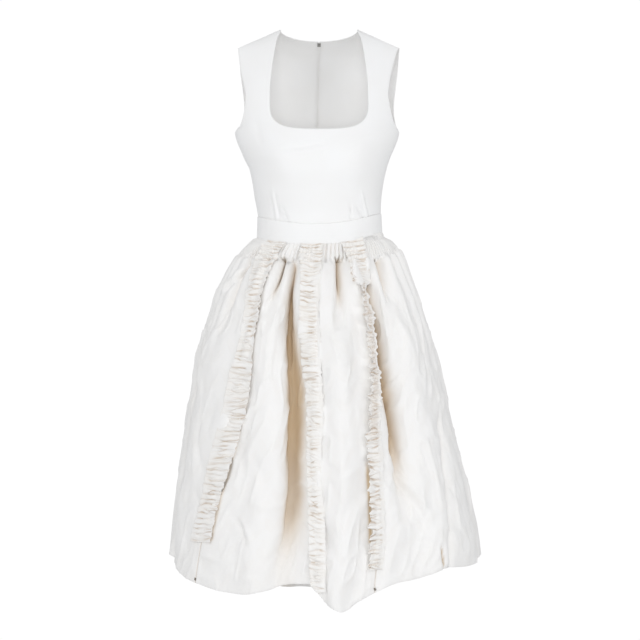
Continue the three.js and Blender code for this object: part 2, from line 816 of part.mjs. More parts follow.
function toManifold(geometry) {
  const positions = Array.from(geometry.getAttribute("position").array);
  const keys = new Map();
  const vertices = [];
  const remap = [];
  for (let i = 0; i < positions.length; i += 3) {
    const key = positions.slice(i, i + 3).map((value) => value.toFixed(5)).join(",");
    if (!keys.has(key)) {
      keys.set(key, keys.size);
      vertices.push(...positions.slice(i, i + 3));
    }
    remap.push(keys.get(key));
  }
  const order = geometry.index ? Array.from(geometry.index.array) : [...remap.keys()];
  const mesh = new wasm.Mesh({
    numProp: 3,
    vertProperties: new Float32Array(vertices),
    triVerts: new Uint32Array(order.map((i) => remap[i])),
  });
  return new wasm.Manifold(mesh);
}

function join(geometries) {
  const solid = geometries.map(toManifold).reduce((whole, piece) => whole.add(piece));
  const { vertProperties, triVerts } = solid.getMesh();
  const geometry = new THREE.BufferGeometry();
  geometry.setAttribute("position", new THREE.Float32BufferAttribute(Array.from(vertProperties), 3));
  geometry.setIndex(Array.from(triVerts));
  return geometry;
}

function box(width, depth, height, y) {
  return new THREE.BoxGeometry(width, depth, height).translate(0, y, 0);
}

// The slider: a plate inside the back, a neck through the parted seam and the cross pin outside.
function makeSlider() {
  const plateAt = -bodiceCloth - seamGap - sliderThick / 2;
  const neckLength = pinStandOff - plateAt;
  return join([
    box(2 * sliderHalfWidth, sliderThick, sliderHeight, plateAt),
    box(2 * sliderNeckHalfWidth, neckLength, sliderNeckHeight, plateAt + neckLength / 2),
    box(2 * pinHalfLength, 2 * pinHalfSize, 2 * pinHalfSize, pinStandOff),
  ]);
}

// The pull tab: two eyes round the pin, one on each side of the neck, and a tongue that lies on the back.
function makePullTab() {
  const eye = new THREE.Shape().absarc(0, 0, eyeOuter, 0, 2 * Math.PI, false);
  eye.holes.push(new THREE.Path().absarc(0, 0, eyeInner, 0, 2 * Math.PI, true));
  const eyeFrom = sliderNeckHalfWidth + seamGap;
  const depth = pinHalfLength - seamGap - eyeFrom;
  const cutting = { depth, bevelEnabled: false, curveSegments: eyeSegments };
  const eyes = [eyeFrom, -eyeFrom - depth].map((from) => {
    const geometry = new THREE.ExtrudeGeometry(eye, cutting);
    return geometry.rotateY(Math.PI / 2).translate(from, pinStandOff, 0);
  });
  const roundFrom = tabHalfWidth - tabLength;
  const outline = new THREE.Shape();
  outline.moveTo(tabNeckHalfWidth, eyeOverlap - eyeOuter);
  outline.lineTo(-tabNeckHalfWidth, eyeOverlap - eyeOuter);
  outline.lineTo(-tabHalfWidth, roundFrom);
  outline.absarc(0, roundFrom, tabHalfWidth, Math.PI, 2 * Math.PI, false);
  outline.closePath();
  const tongue = new THREE.ExtrudeGeometry(outline, {
    depth: tabThick,
    bevelEnabled: false,
    curveSegments: tabSegments,
  });
  tongue.rotateX(Math.PI / 2).translate(0, pinStandOff + tabThick / 2, 0);
  return join([...eyes, tongue]);
}

// Places a piece of the zip on the centre back, leaning as the cloth does there.
function placeOnBack(name, geometry) {
  const { point, lean } = sliderPlace();
  const mesh = addMetal(name, geometry);
  mesh.position.copy(point);
  mesh.rotation.x = lean;
}

makeFront();
makeBack("bodice_back_left", -1);
makeBack("bodice_back_right", 1);
const bandZipEdge = halfTurn - turnFor(seamGap / 2, halfTurn, bandMiddle);
makeBand("waistband_front", sideAngle(-1), sideAngle(1), bandColumns.front);
makeBand("waistband_back_left", -bandZipEdge, -halfTurn - sideAngle(-1), bandColumns.back);
makeBand("waistband_back_right", halfTurn - sideAngle(1), bandZipEdge, bandColumns.back);
makeSkirt();
makeZipChain();
placeOnBack("zip_slider", makeSlider());
placeOnBack("zip_pull_tab", makePullTab());

export default group;
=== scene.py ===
import math

import bmesh
import bpy
import numpy as np
from mathutils import Matrix, Vector


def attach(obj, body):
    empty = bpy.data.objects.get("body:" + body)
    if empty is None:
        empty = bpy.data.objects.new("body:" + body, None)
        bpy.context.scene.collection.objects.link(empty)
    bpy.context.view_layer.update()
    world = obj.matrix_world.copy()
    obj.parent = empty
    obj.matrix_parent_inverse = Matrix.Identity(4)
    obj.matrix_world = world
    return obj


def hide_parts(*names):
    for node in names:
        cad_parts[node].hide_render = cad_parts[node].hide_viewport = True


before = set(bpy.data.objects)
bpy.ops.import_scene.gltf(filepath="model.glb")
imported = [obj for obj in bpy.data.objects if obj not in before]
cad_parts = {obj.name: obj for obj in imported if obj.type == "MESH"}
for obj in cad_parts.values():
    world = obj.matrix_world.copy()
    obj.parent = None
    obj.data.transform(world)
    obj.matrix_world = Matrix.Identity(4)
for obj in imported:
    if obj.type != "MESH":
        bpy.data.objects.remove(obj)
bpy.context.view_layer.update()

# A sleeveless dirndl in ivory cloth. Lengths are in millimetres here and become metres when a mesh is made.
# +X is the viewer's right, the front faces -Y, and angles go round the figure from the front middle.
MM = 0.001


def table(columns, rows):
    return [dict(zip(columns, row)) for row in rows]


# the general figure and the cut
SQUARENESS = 2.2
FIGURE = table(
    ("height", "half_width", "shift", "front", "back"),
    (
        (0, 178, 0, 0.2, 0.2),
        (-3, 178, 0, 8, 12),
        (-8, 178, 0, 15, 28),
        (-20, 178, 0, 27, 52),
        (-50, 178, -1, 47, 80),
        (-100, 178, -2, 72, 98),
        (-150, 175, -3, 90, 106),
        (-190, 171, -4, 101, 107),
        (-216, 168, -4, 107, 106),
        (-263, 150, -4, 116, 104),
        (-288, 140, -2, 117, 103),
        (-337, 131, -2, 108, 99),
        (-386, 126, 1, 100, 97),
        (-425, 128, 2, 101, 98),
        (-436, 142.5, 5, 104, 105),
        (-460, 163, 2, 112, 120),
        (-509, 189, -2, 147, 147),
        (-558, 211, -4, 168, 166),
        (-656, 243, -5, 195, 192),
        (-755, 264, -2, 215, 212),
        (-853, 283, 2, 229, 226),
        (-952, 301, 8, 239, 236),
        (-1050, 317, 13, 247, 243),
        (-1180, 326, 15, 253, 248),
    ),
)
NECK_POINT = 78
SHOULDER_TIP = 164
SHOULDER_FALL = 38
FALL_REACH = 1.1
UNDERARM = -216
CUP = {"out": 12, "aside": 85, "height": -270, "wide": 45, "tall": 50}
NECK_SIDES = table(
    ("height", "half_width"),
    ((0, 78), (-22, 86.5), (-58, 92.5), (-94, 97), (-129, 99.6), (-150, 100)),
)
NECK_CORNER_TOP = -150
NECK_BOTTOM = -212
NECK_HALF_WIDTH = 100
NECK_SQUARENESS = 3.4
BACK_NECK_DROP = 18
BACK_NECK_ROUND = 1.9
ARMHOLES = table(
    ("height", "front_left", "front_right", "back"),
    (
        (-38, 166, 162, 165),
        (-79, 161, 150, 163),
        (-114, 153.5, 143, 159),
        (-140, 149, 140.5, 156),
        (-161, 150, 144, 155),
        (-188, 155.5, 150, 158),
        (-202, 161.5, 156.5, 162),
    ),
)
BAND_TOP = {"side": -381, "dip": 21, "tilt": 3.5}
BAND_BOTTOM = {"side": -421, "dip": 22, "tilt": 5.7}
FRONT_SEAMS = table(
    ("height", "left", "centre", "right"),
    (
        (-448, -36, -5, 22),
        (-523, -35, -3, 26),
        (-600, -32, -2, 26),
        (-760, -35, -1, 23),
        (-890, -42, -2, 20),
        (-1025, -49, -2, 17),
        (-1110, -52, -2, 15),
    ),
)
HEM = table(
    ("angle", "height"),
    (
        (-180, -1174), (-150, -1158), (-123, -1118), (-104, -1076), (-90, -1069), (-80, -1079),
        (-69, -1094), (-59, -1108), (-28, -1129), (-12, -1109), (-5, -1106), (1, -1150), (4, -1158),
        (10, -1138), (23, -1107), (33, -1099), (46, -1082), (60, -1085), (75, -1082), (90, -1074),
        (104, -1080), (123, -1104), (150, -1138), (180, -1174),
    ),
)
FOLD_LEVELS = {"top": -480, "middle": -770, "low": -1110}
FOLDS = table(
    ("top", "middle", "low", "wide", "out", "starts", "full", "eases", "ends", "left", "lean", "narrow"),
    (
        (-15.9, -10.9, -13.3, 34, -46, -466, -500, -930, -1090, 0.3, 25, 0.27),
        (-24, -21, -21, 12, -31, -466, -480, -505, -600, 0, 6, 0.8),
        (10.5, 9.5, 9, 15, -36, -466, -482, -510, -640, 0, 7, 0.75),
        (28.1, 28.3, 33, 22, -43, -484, -520, -780, -990, 0.13, 18, 0.62),
        (41, 40, 40, 12, -29, -466, -480, -500, -590, 0, 6, 0.8),
        (66, 63, 45, 9, -9, -720, -850, -1200, -1300, 1, 0, 1),
        (-52, -62, -64, 11, -13, -440, -475, -520, -650, 0.1, 0, 1),
        (-23, -18, -25, 30, 13, -470, -620, -1000, -1160, 0.6, 0, 1),
        (5, 9, 3, 27, 22, -470, -640, -1200, -1300, 1, 0, 1),
        (50, 47, 42, 36, 12, -490, -650, -1000, -1160, 0.6, 0, 1),
        (-75, -78, -80, 24, -9, -500, -700, -1200, -1300, 1, 0, 1),
        (82, 84, 80, 22, -8, -500, -700, -1200, -1300, 1, 0, 1),
        (108, 110, 111, 24, -24, -470, -700, -1200, -1300, 1, 0, 1),
        (129, 130, 127, 17, -16, -470, -600, -800, -1050, 0.3, 0, 1),
        (150, 149, 151, 24, -32, -470, -660, -1200, -1300, 1, 5, 1),
        (168, 170, 169, 18, -18, -470, -560, -760, -1000, 0.3, 0, 1),
        (-165, -167, -166, 22, -26, -470, -680, -1200, -1300, 1, -4, 1),
        (-144, -145, -147, 18, -18, -470, -580, -780, -1000, 0.3, 0, 1),
        (-124, -122, -124, 25, -30, -470, -660, -1200, -1300, 1, 5, 1),
        (-101, -102, -104, 20, -16, -470, -640, -900, -1100, 0.5, 0, 1),
    ),
)
SEAM_GAP = 0.3
# Steps in degrees, millimetres and shares over which a direction of the surface is read.
READ_FIGURE = 0.5
READ_SKIRT = {"angle": 0.2, "share": 0.002}


def ease(share):
    s = np.clip(share, 0, 1)
    return s * s * (3 - 2 * s)


def mix(start, end, share):
    return start + (end - start) * share


def signed_power(value, power):
    return np.sign(value) * np.abs(value) ** power


def unit(vectors):
    return vectors / np.linalg.norm(vectors, axis=-1, keepdims=True)


def curve(rows, key, column):
    """A smooth curve through one column of a table that never swings past its own rows."""
    knots = sorted((row[key], row[column]) for row in rows)
    at, value = (np.array(side, float) for side in zip(*knots))
    rise = np.diff(value) / np.diff(at)
    product, total = rise[:-1] * rise[1:], rise[:-1] + rise[1:]
    inner = np.where(product > 0, 2 * product / np.where(product > 0, total, 1), 0)
    slope = np.concatenate((rise[:1], inner, rise[-1:]))

    def read(place):
        place = np.clip(np.asarray(place, float), at[0], at[-1])
        i = np.clip(np.searchsorted(at, place, side="right") - 1, 0, len(at) - 2)
        step = at[i + 1] - at[i]
        s = (place - at[i]) / step
        bend = s * s * (3 - 2 * s)
        leave = s * (1 - s) ** 2 * slope[i]
        arrive = s * s * (1 - s) * slope[i + 1]
        return value[i] + (value[i + 1] - value[i]) * bend + step * (leave - arrive)

    return read


half_width_at = curve(FIGURE, "height", "half_width")
shift_at = curve(FIGURE, "height", "shift")
front_at = curve(FIGURE, "height", "front")
back_at = curve(FIGURE, "height", "back")
hem_at = curve(HEM, "angle", "height")
neck_side_at = curve(NECK_SIDES, "height", "half_width")
seam_at = {side: curve(FRONT_SEAMS, "height", side) for side in ("left", "centre", "right")}
armhole_at = {side: curve(ARMHOLES, "height", side) for side in ("front_left", "front_right", "back")}


def figure_point(angle, height):
    """A point on the figure. The shoulder line falls away outwards, and lower down the rings are level."""
    angle, height = np.broadcast_arrays(np.asarray(angle, float), np.asarray(height, float))
    turn = np.radians(angle)
    reach = signed_power(np.sin(turn), 2 / SQUARENESS)
    inward = np.abs(np.cos(turn)) ** (2 / SQUARENESS)
    across = shift_at(height) + half_width_at(height) * reach
    along = (np.abs(across) - NECK_POINT) / (SHOULDER_TIP - NECK_POINT)
    fall = SHOULDER_FALL * np.clip(along, 0, FALL_REACH)
    level = np.minimum(0, height + fall * ease(1 - height / UNDERARM))
    in_front = np.cos(turn) > 0
    depth = np.where(in_front, -front_at(level), back_at(level)) * inward
    aside = (np.abs(across) - CUP["aside"]) / CUP["wide"]
    above = (height - CUP["height"]) / CUP["tall"]
    cup = CUP["out"] * inward * np.exp(-aside * aside - above * above)
    return np.stack((across, depth - np.where(in_front, cup, 0), height), -1)


def angle_at(across, height, behind):
    reach = np.clip((across - shift_at(height)) / half_width_at(height), -1, 1)
    angle = np.degrees(np.arcsin(signed_power(reach, SQUARENESS / 2)))
    return np.where(behind, np.where(angle < 0, -180 - angle, 180 - angle), angle)


def outward(angle, height):
    along = figure_point(angle + READ_FIGURE, height) - figure_point(angle - READ_FIGURE, height)
    up = figure_point(angle, height + READ_FIGURE) - figure_point(angle, height - READ_FIGURE)
    return unit(np.cross(along, up))


def level_outward(angle, height):
    return unit(outward(angle, height) * (1, 1, 0))


def mm_per_degree(angle, height):
    """The way round the figure for one degree, which is twice READ_FIGURE."""
    along = figure_point(angle + READ_FIGURE, height) - figure_point(angle - READ_FIGURE, height)
    return np.linalg.norm(along, axis=-1)


def band_edge(edge, angle):
    turn = np.radians(angle)
    reach = signed_power(np.sin(turn), 2 / SQUARENESS)
    dip = np.where(np.cos(turn) > 0, edge["dip"] * (1 - reach * reach), 0)
    return edge["side"] - dip + edge["tilt"] * reach


# uneven detail of the cloth
LATTICE = np.random.default_rng(11).random((4, 256, 256))


def uneven(x, y, layer=0):
    """A smooth field between -1 and 1 that wanders with a step of one unit."""
    x, y = np.asarray(x, float), np.asarray(y, float)
    i, j = np.floor(x).astype(int), np.floor(y).astype(int)
    s, t = x - i, y - j
    s, t = s * s * s * (s * (6 * s - 15) + 10), t * t * t * (t * (6 * t - 15) + 10)
    lattice = LATTICE[layer]
    corner = [lattice[(i + a) & 255, (j + b) & 255] for a in (0, 1) for b in (0, 1)]
    low, high = mix(corner[0], corner[1], t), mix(corner[2], corner[3], t)
    return 2 * mix(low, high, s) - 1


def wander(x, y, field):
    """An uneven field by its size, its step along x, its step along y and its layer."""
    size, step_x, step_y, layer = field
    return size * uneven(x / step_x, y / step_y, layer)


def below_level(height, level):
    """0 down to a level and 1 from some way below it, with the level and the way in a pair."""
    return ease((level[0] - height) / level[1])


# A leaning fold is steep on its near side and gentle on its far side, where its lip hangs over.
LEANING = {"steep": 4, "gentle": 2.4, "past": 1.15, "lip": 0.95, "lip_wide": 0.5}


def fold_shift(angle, height):
    """How far the large folds push the cloth out, and how far they lean it sideways over a trough."""
    per_degree = mm_per_degree(angle, height)
    upper = ease((height - FOLD_LEVELS["top"]) / (FOLD_LEVELS["middle"] - FOLD_LEVELS["top"]))
    lower = np.clip((height - FOLD_LEVELS["middle"]) / (FOLD_LEVELS["low"] - FOLD_LEVELS["middle"]), 0, 1)
    out = np.zeros(np.broadcast(angle, height).shape)
    lean = np.zeros_like(out)
    for fold in FOLDS:
        centre = np.where(
            height > FOLD_LEVELS["middle"],
            mix(fold["top"], fold["middle"], upper),
            mix(fold["middle"], fold["low"], lower),
        )
        away = ((angle - centre + 540) % 360 - 180) * per_degree
        grown = ease((fold["starts"] - height) / (fold["starts"] - fold["full"]))
        kept = mix(1, fold["left"], ease((fold["eases"] - height) / (fold["eases"] - fold["ends"])))
        wide = fold["wide"] * mix(fold["narrow"], 1, upper)
        shape = np.exp(-((away / wide) ** 2))
        if fold["lean"]:
            beyond = away * np.sign(fold["lean"]) / wide
            steep = np.abs(beyond) ** LEANING["steep"]
            gentle = np.abs(beyond / LEANING["past"]) ** LEANING["gentle"]
            shape = np.exp(-np.where(beyond < 0, steep, gentle))
            lip = (away + LEANING["lip"] * wide * np.sign(fold["lean"])) / (LEANING["lip_wide"] * wide)
            lean += fold["lean"] * wide / fold["wide"] * grown * kept * np.exp(-(lip**2))
        out += fold["out"] * grown * kept * shape
    return out, lean


def skirt_height(angle, share):
    top = band_edge(BAND_BOTTOM, angle) - SEAM_GAP / 2
    return mix(top, hem_at(angle), share)


def skirt_point(angle, share):
    """A point of the folded skirt, before its gathers and creases."""
    height = skirt_height(angle, share)
    out = level_outward(angle, height)
    push, lean = fold_shift(angle, height)
    sideways = np.stack((-out[..., 1], out[..., 0], np.zeros_like(push)), -1)
    return figure_point(angle, height) + out * push[..., None] + sideways * lean[..., None]


def skirt_frame(angle, share):
    """A point of the folded skirt and the directions out of it and across it."""
    angle, share = np.broadcast_arrays(np.asarray(angle, float), np.asarray(share, float))
    here = skirt_point(angle, share)
    turn, drop = READ_SKIRT["angle"], READ_SKIRT["share"]
    along = skirt_point(angle + turn, share) - skirt_point(angle - turn, share)
    up = skirt_point(angle, share - drop) - skirt_point(angle, share + drop)
    return here, unit(np.cross(along, up)), unit(along)


WAIST_ROUND = 700
GATHERS = {"pitch": 5.4, "deep": 2.6, "pinched": 2.5, "double": 0.15, "at_band": 0.35, "grown": 6}
# The stitches hold the gathers this far down. There they fade, and the cloth opens.
GAUGED = {"down": 34, "fades": 7, "opens": 9}
# Flutes are so many gathers wide. Each kind has its size, where it starts to fade and over which way.
FLUTES = {"gathers": 3.6, "even": 0.8, "kinds": ((2.6, 45, 70), (2.2, 60, 260))}
PUFF = {"out": 4.5, "reach": 150}
WAIST_FIELDS = {
    "course": (2.4, 23, 90, 1),
    "strength": (0.45, 13, 60, 2),
    "ends": (3, 31, 1, 0),
    "flute_course": (1.5, 60, 250, 3),
    "flute_size": (0.7, 37, 180, 0),
}


def gather_shift(angle, height):
    """The small gathers under the band, and the uneven flutes that open where the gathering stitches end."""
    below = skirt_height(angle, 0) - height
    waist = (angle + 180) / 360 * WAIST_ROUND
    waist = waist + wander(waist, below, WAIST_FIELDS["course"])
    phase = waist / GATHERS["pitch"] * 2 * np.pi
    strength = 1 + wander(waist, below, WAIST_FIELDS["strength"])
    wave = 1 - 2 * (0.5 - 0.5 * np.sin(phase)) ** GATHERS["pinched"]
    wave = wave + GATHERS["double"] * np.sin(2 * phase + 1)
    ends = GAUGED["down"] + wander(waist, 0, WAIST_FIELDS["ends"])
    grown = mix(GATHERS["at_band"], 1, ease(below / GATHERS["grown"]))
    fine = GATHERS["deep"] * strength * wave * ease(1 - (below - ends) / GAUGED["fades"]) * grown
    course = waist / (GATHERS["pitch"] * FLUTES["gathers"]) * 2 * np.pi
    flute = np.sin(course + wander(waist, below, WAIST_FIELDS["flute_course"]))
    flute = flute * (FLUTES["even"] + wander(waist, below, WAIST_FIELDS["flute_size"]))
    opened = ease((below - ends) / GAUGED["opens"])
    kinds = sum(size * ease(1 - (below - top) / reach) for size, top, reach in FLUTES["kinds"])
    flute = flute * opened * kinds
    return fine + flute + PUFF["out"] * opened * ease(1 - (below - ends) / PUFF["reach"])


CRUMPLE_BENDS = ((14, 70, 90, 1), (16, 90, 70, 2))
CRUMPLES = {"broad": (3.2, 34, 62, 3), "fine": (0.6, 13, 21, 2)}
RIDGES = {"high": 3, "wide": 26, "tall": 48, "slant": 0.3, "long": 60, "sharp": 2.5, "middle": 0.4}


def crumple_shift(across, down):
    """Soft bent creases all over the skirt, with across and down measured on the cloth."""
    x, y = (way + wander(across, down, bend) for way, bend in zip((across, down), CRUMPLE_BENDS))
    slanted = x / RIDGES["wide"] + RIDGES["slant"] * y / RIDGES["long"]
    ridge = 1 - np.abs(uneven(slanted, y / RIDGES["tall"], 0))
    high = RIDGES["high"] * (ridge ** RIDGES["sharp"] - RIDGES["middle"])
    return wander(x, y, CRUMPLES["broad"]) + high + wander(x, y, CRUMPLES["fine"])


def leaf_shift(across, down):
    """The woven leaves stand up a little. Each lies in its own field of a half-drop repeat."""
    return LEAF_HIGH * leaf_mask(across * MM, down * MM)


LEAF_HIGH = 0.3
LEAF_FIELD = (0.046, 0.058)
LEAF_HALF = (0.0085, 0.024)
LEAF_TURN = 0.62
LEAF_PLACE = (0.011, 0.004)
LEAF_BOW = 5
LEAF_VEIN = {"from": 0.0003, "to": 0.0012, "floor": 0.45, "rise": 0.55}
LEAF_EDGE = 0.35


def step_between(value, low, high):
    """0 below low, 1 above high and smooth between, for arrays and for shader values alike."""
    share = limit((value - low) / (high - low))
    return share * share * (3 - 2 * share)


def limit(value):
    return value.clamp() if isinstance(value, Value) else np.clip(value, 0, 1)


def whole(value):
    return value.math("FLOOR") if isinstance(value, Value) else np.floor(value)


def size_of(value):
    return value.math("ABSOLUTE") if isinstance(value, Value) else np.abs(value)


def leaf_mask(u, v):
    """1 inside a leaf and 0 outside. Two leaves that lean apart share each field."""
    column = whole(u / LEAF_FIELD[0])
    drop = (column - 2 * whole(column / 2)) * (LEAF_FIELD[1] / 2)
    x = u - (column + 0.5) * LEAF_FIELD[0]
    down = v + drop
    y = down - (whole(down / LEAF_FIELD[1]) + 0.5) * LEAF_FIELD[1]
    mask = 0
    for side in (-1, 1):
        cos, sin = math.cos(LEAF_TURN), side * math.sin(LEAF_TURN)
        dx, dy = x - side * LEAF_PLACE[0], y + LEAF_PLACE[1] * side
        along = dy * cos - dx * sin
        aside = dx * cos + dy * sin
        bend = aside - side * LEAF_BOW * along * along
        widest = 1 - (along / LEAF_HALF[1]) * (along / LEAF_HALF[1])
        inside = widest - size_of(bend) / LEAF_HALF[0]
        vein = step_between(size_of(bend), LEAF_VEIN["from"], LEAF_VEIN["to"])
        mask = mask + step_between(inside, 0, LEAF_EDGE) * (LEAF_VEIN["floor"] + LEAF_VEIN["rise"] * vein)
    return mask


# shader values
class Value:
    """A socket whose sums become Math nodes."""

    def __init__(self, tree, socket):
        self.tree, self.socket = tree, socket

    def math(self, operation, *others, clamp=False):
        node = self.tree.nodes.new("ShaderNodeMath")
        node.operation, node.use_clamp = operation, clamp
        for place, other in zip(node.inputs, (self, *others)):
            fill(self.tree, place, other)
        return Value(self.tree, node.outputs[0])

    def clamp(self):
        return self.math("ADD", 0, clamp=True)

    def __add__(self, other): return self.math("ADD", other)
    def __radd__(self, other): return self.math("ADD", other)
    def __sub__(self, other): return self.math("SUBTRACT", other)
    def __rsub__(self, other): return (self * -1).math("ADD", other)
    def __mul__(self, other): return self.math("MULTIPLY", other)
    def __rmul__(self, other): return self.math("MULTIPLY", other)
    def __truediv__(self, other): return self.math("DIVIDE", other)


def fill(tree, place, value):
    if isinstance(value, Value):
        tree.links.new(value.socket, place)
    elif hasattr(place.default_value, "__len__") and len(place.default_value) == 4 and len(value) == 3:
        place.default_value = (*value, 1)
    else:
        place.default_value = value


class Finish:
    """One material and the nodes that make it."""

    def __init__(self, name):
        self.material = bpy.data.materials.new(name)
        self.material.use_nodes = True
        self.tree = self.material.node_tree
        self.tree.nodes.clear()

    def node(self, kind, out=0, settings=(), **values):
        """A node with its sockets filled by name, or by number as i0, i1 and so on."""
        node = self.tree.nodes.new("ShaderNode" + kind)
        for name, value in dict(settings).items():
            setattr(node, name, value)
        for name, value in values.items():
            numbered = name[0] == "i" and name[1:].isdigit()
            fill(self.tree, node.inputs[int(name[1:]) if numbered else name.replace("_", " ")], value)
        return Value(self.tree, node.outputs[out]) if node.outputs else node

    def cloth_place(self):
        """Where a point is on the flat cloth, in metres across it and down it."""
        place = self.node("UVMap", settings={"uv_map": "cloth"})
        node = self.tree.nodes.new("ShaderNodeSeparateXYZ")
        fill(self.tree, node.inputs[0], place)
        return Value(self.tree, node.outputs[0]), Value(self.tree, node.outputs[1]), place

    def blend(self, factor, first, second):
        return self.node("Mix", out=2, settings={"data_type": "RGBA"}, i0=factor, i6=first, i7=second)

    def deep(self):
        """The painted shade, strongest deep in a fold, that turns the ivory tan."""
        return self.node("Attribute", out=2, settings={"attribute_name": "deep"})

    def mottled(self, place, scale, first, second):
        """Two near colours in soft patches."""
        tone = self.node("TexNoise", Vector=place, Scale=scale, Detail=3.0)
        return self.blend(step_between(tone, *MOTTLE), first, second)

    def finish(self, color, roughness, normal=None, **constants):
        shader = self.tree.nodes.new("ShaderNodeBsdfPrincipled")
        fill(self.tree, shader.inputs["Base Color"], color)
        fill(self.tree, shader.inputs["Roughness"], roughness)
        if normal:
            fill(self.tree, shader.inputs["Normal"], normal)
        for name, value in constants.items():
            fill(self.tree, shader.inputs[name.replace("_", " ")], value)
        end = self.tree.nodes.new("ShaderNodeOutputMaterial")
        self.tree.links.new(shader.outputs[0], end.inputs[0])
        return self.material


def woven_threads(u, v, pitch):
    """The height of a plain weave, threads over and under each other."""
    turn = 2 * math.pi / pitch
    warp, weft = (u * turn).math("SINE"), (v * turn).math("SINE")
    return (warp * weft + 1) * 0.5


MOTTLE = (0.35, 0.7)
SMOOTH_PITCH, JACQUARD_PITCH = 0.0009, 0.0011
IVORY = (0.925, 0.905, 0.875)
IVORY_LIGHT = (0.935, 0.917, 0.89)
IVORY_SHADE = (0.905, 0.875, 0.83)
IVORY_PAINTED_SHADE = (0.64, 0.49, 0.32)
RUFFLE_PAINTED_SHADE = (0.68, 0.585, 0.49)
ZIP_IVORY = (0.9, 0.88, 0.85)
WHITE_IVORY = (0.93, 0.917, 0.895)
WHITE_IVORY_LIGHT = (0.94, 0.93, 0.912)
METAL_TONES = ((0.36, 0.35, 0.33), (0.5, 0.49, 0.47))
TACK_TONES = ((0.2, 0.17, 0.14), (0.3, 0.26, 0.22))


def smooth_ivory_cloth():
    finish = Finish("smooth_ivory_cloth")
    u, v, place = finish.cloth_place()
    threads = woven_threads(u, v, SMOOTH_PITCH)
    slubs = finish.node("TexNoise", Vector=place, Scale=160.0, Detail=2.0)
    color = finish.mottled(place, 14.0, WHITE_IVORY, WHITE_IVORY_LIGHT)
    bump = finish.node("Bump", Strength=0.35, Distance=0.00012, Height=threads * 0.6 + slubs * 0.4)
    return finish.finish(color, 0.62 + threads * 0.1, bump, Sheen_Weight=0.15, Sheen_Roughness=0.45,
                         Specular_IOR_Level=0.3)


def leaf_jacquard():
    finish = Finish("ivory_leaf_jacquard")
    u, v, place = finish.cloth_place()
    leaf = leaf_mask(u, v)
    threads = woven_threads(u, v, JACQUARD_PITCH)
    flat_color = finish.blend(leaf * 0.25, finish.mottled(place, 9.0, IVORY, IVORY_LIGHT), IVORY_SHADE)
    # Painted shade: the deep attribute blends the cloth to tan in folds, gathers, seams, the slit and beside
    # ruffles.
    color = finish.blend(finish.deep(), flat_color, IVORY_PAINTED_SHADE)
    relief = leaf * 0.8 + threads * (0.3 - leaf * 0.15)
    bump = finish.node("Bump", Strength=0.4, Distance=0.0003, Height=relief)
    return finish.finish(color, 0.68 - leaf * 0.12, bump, Sheen_Weight=0.12, Sheen_Roughness=0.5,
                         Specular_IOR_Level=0.3)


def ruffle_cloth():
    finish = Finish("ivory_ruffle_cloth")
    u, v, place = finish.cloth_place()
    threads = woven_threads(u, v, SMOOTH_PITCH)
    # Painted shade: the deep attribute blends the ruffle to tan in its creases, curls and where it stands on
    # the lip.
    color = finish.blend(finish.deep(), finish.mottled(place, 22.0, IVORY_SHADE, IVORY), RUFFLE_PAINTED_SHADE)
    bump = finish.node("Bump", Strength=0.35, Distance=0.00015, Height=threads)
    return finish.finish(color, 0.66 + threads * 0.1, bump, Sheen_Weight=0.15, Specular_IOR_Level=0.3)


def plain_metal():
    finish = Finish("dull_grey_metal")
    place = finish.node("TexCoord", out=3)
    wear = finish.node("TexNoise", Vector=place, Scale=900.0, Detail=3.0)
    color = finish.blend(step_between(wear, 0.3, 0.7), *METAL_TONES)
    bump = finish.node("Bump", Strength=0.15, Distance=0.0001, Height=wear)
    return finish.finish(color, 0.32 + wear * 0.2, bump, Metallic=1.0)


def zip_nylon():
    finish = Finish("ivory_zip_nylon")
    place = finish.node("TexCoord", out=3)
    grain = finish.node("TexNoise", Vector=place, Scale=700.0, Detail=2.0)
    color = finish.blend(grain, ZIP_IVORY, WHITE_IVORY_LIGHT)
    bump = finish.node("Bump", Strength=0.2, Distance=0.0001, Height=grain)
    return finish.finish(color, 0.45 + grain * 0.15, bump)


def tack_thread():
    finish = Finish("dark_bar_tack_thread")
    twist = finish.node("TexNoise", Vector=finish.node("TexCoord", out=3), Scale=1500.0)
    return finish.finish(finish.blend(twist, *TACK_TONES), 0.7)


BODICE_CLOTH = smooth_ivory_cloth()
SKIRT_CLOTH = leaf_jacquard()
RUFFLE_CLOTH = ruffle_cloth()
METAL = plain_metal()
ZIP_NYLON = zip_nylon()
TACK_THREAD = tack_thread()


# meshes
def make_piece(name, points, faces, material, places=None, deep=None, smooth=True):
    mesh = bpy.data.meshes.new(name)
    faces = faces if isinstance(faces, list) else faces.tolist()
    mesh.from_pydata((np.asarray(points) * MM).tolist(), [], faces)
    mesh.update()
    if places is not None:
        layer = mesh.uv_layers.new(name="cloth")
        corners = np.empty(len(mesh.loops), int)
        mesh.loops.foreach_get("vertex_index", corners)
        layer.data.foreach_set("uv", (np.asarray(places)[corners] * MM).ravel())
    # The deep attribute carries painted shade, which the cloth finishes blend towards tan.
    if deep is not None:
        mesh.attributes.new("deep", "FLOAT", "POINT").data.foreach_set("value", deep)
    mesh.polygons.foreach_set("use_smooth", np.full(len(mesh.polygons), smooth))
    mesh.materials.append(material)
    piece = bpy.data.objects.new(name, mesh)
    bpy.context.scene.collection.objects.link(piece)
    return piece


def grid_normals(points):
    """The direction out of a grid whose rows run up and columns run to the right."""
    along = np.gradient(points, axis=1)
    up = np.gradient(points, axis=0)
    return unit(np.cross(along, up))


RIM_STEPS = 3
RIM_BULGE = 0.35


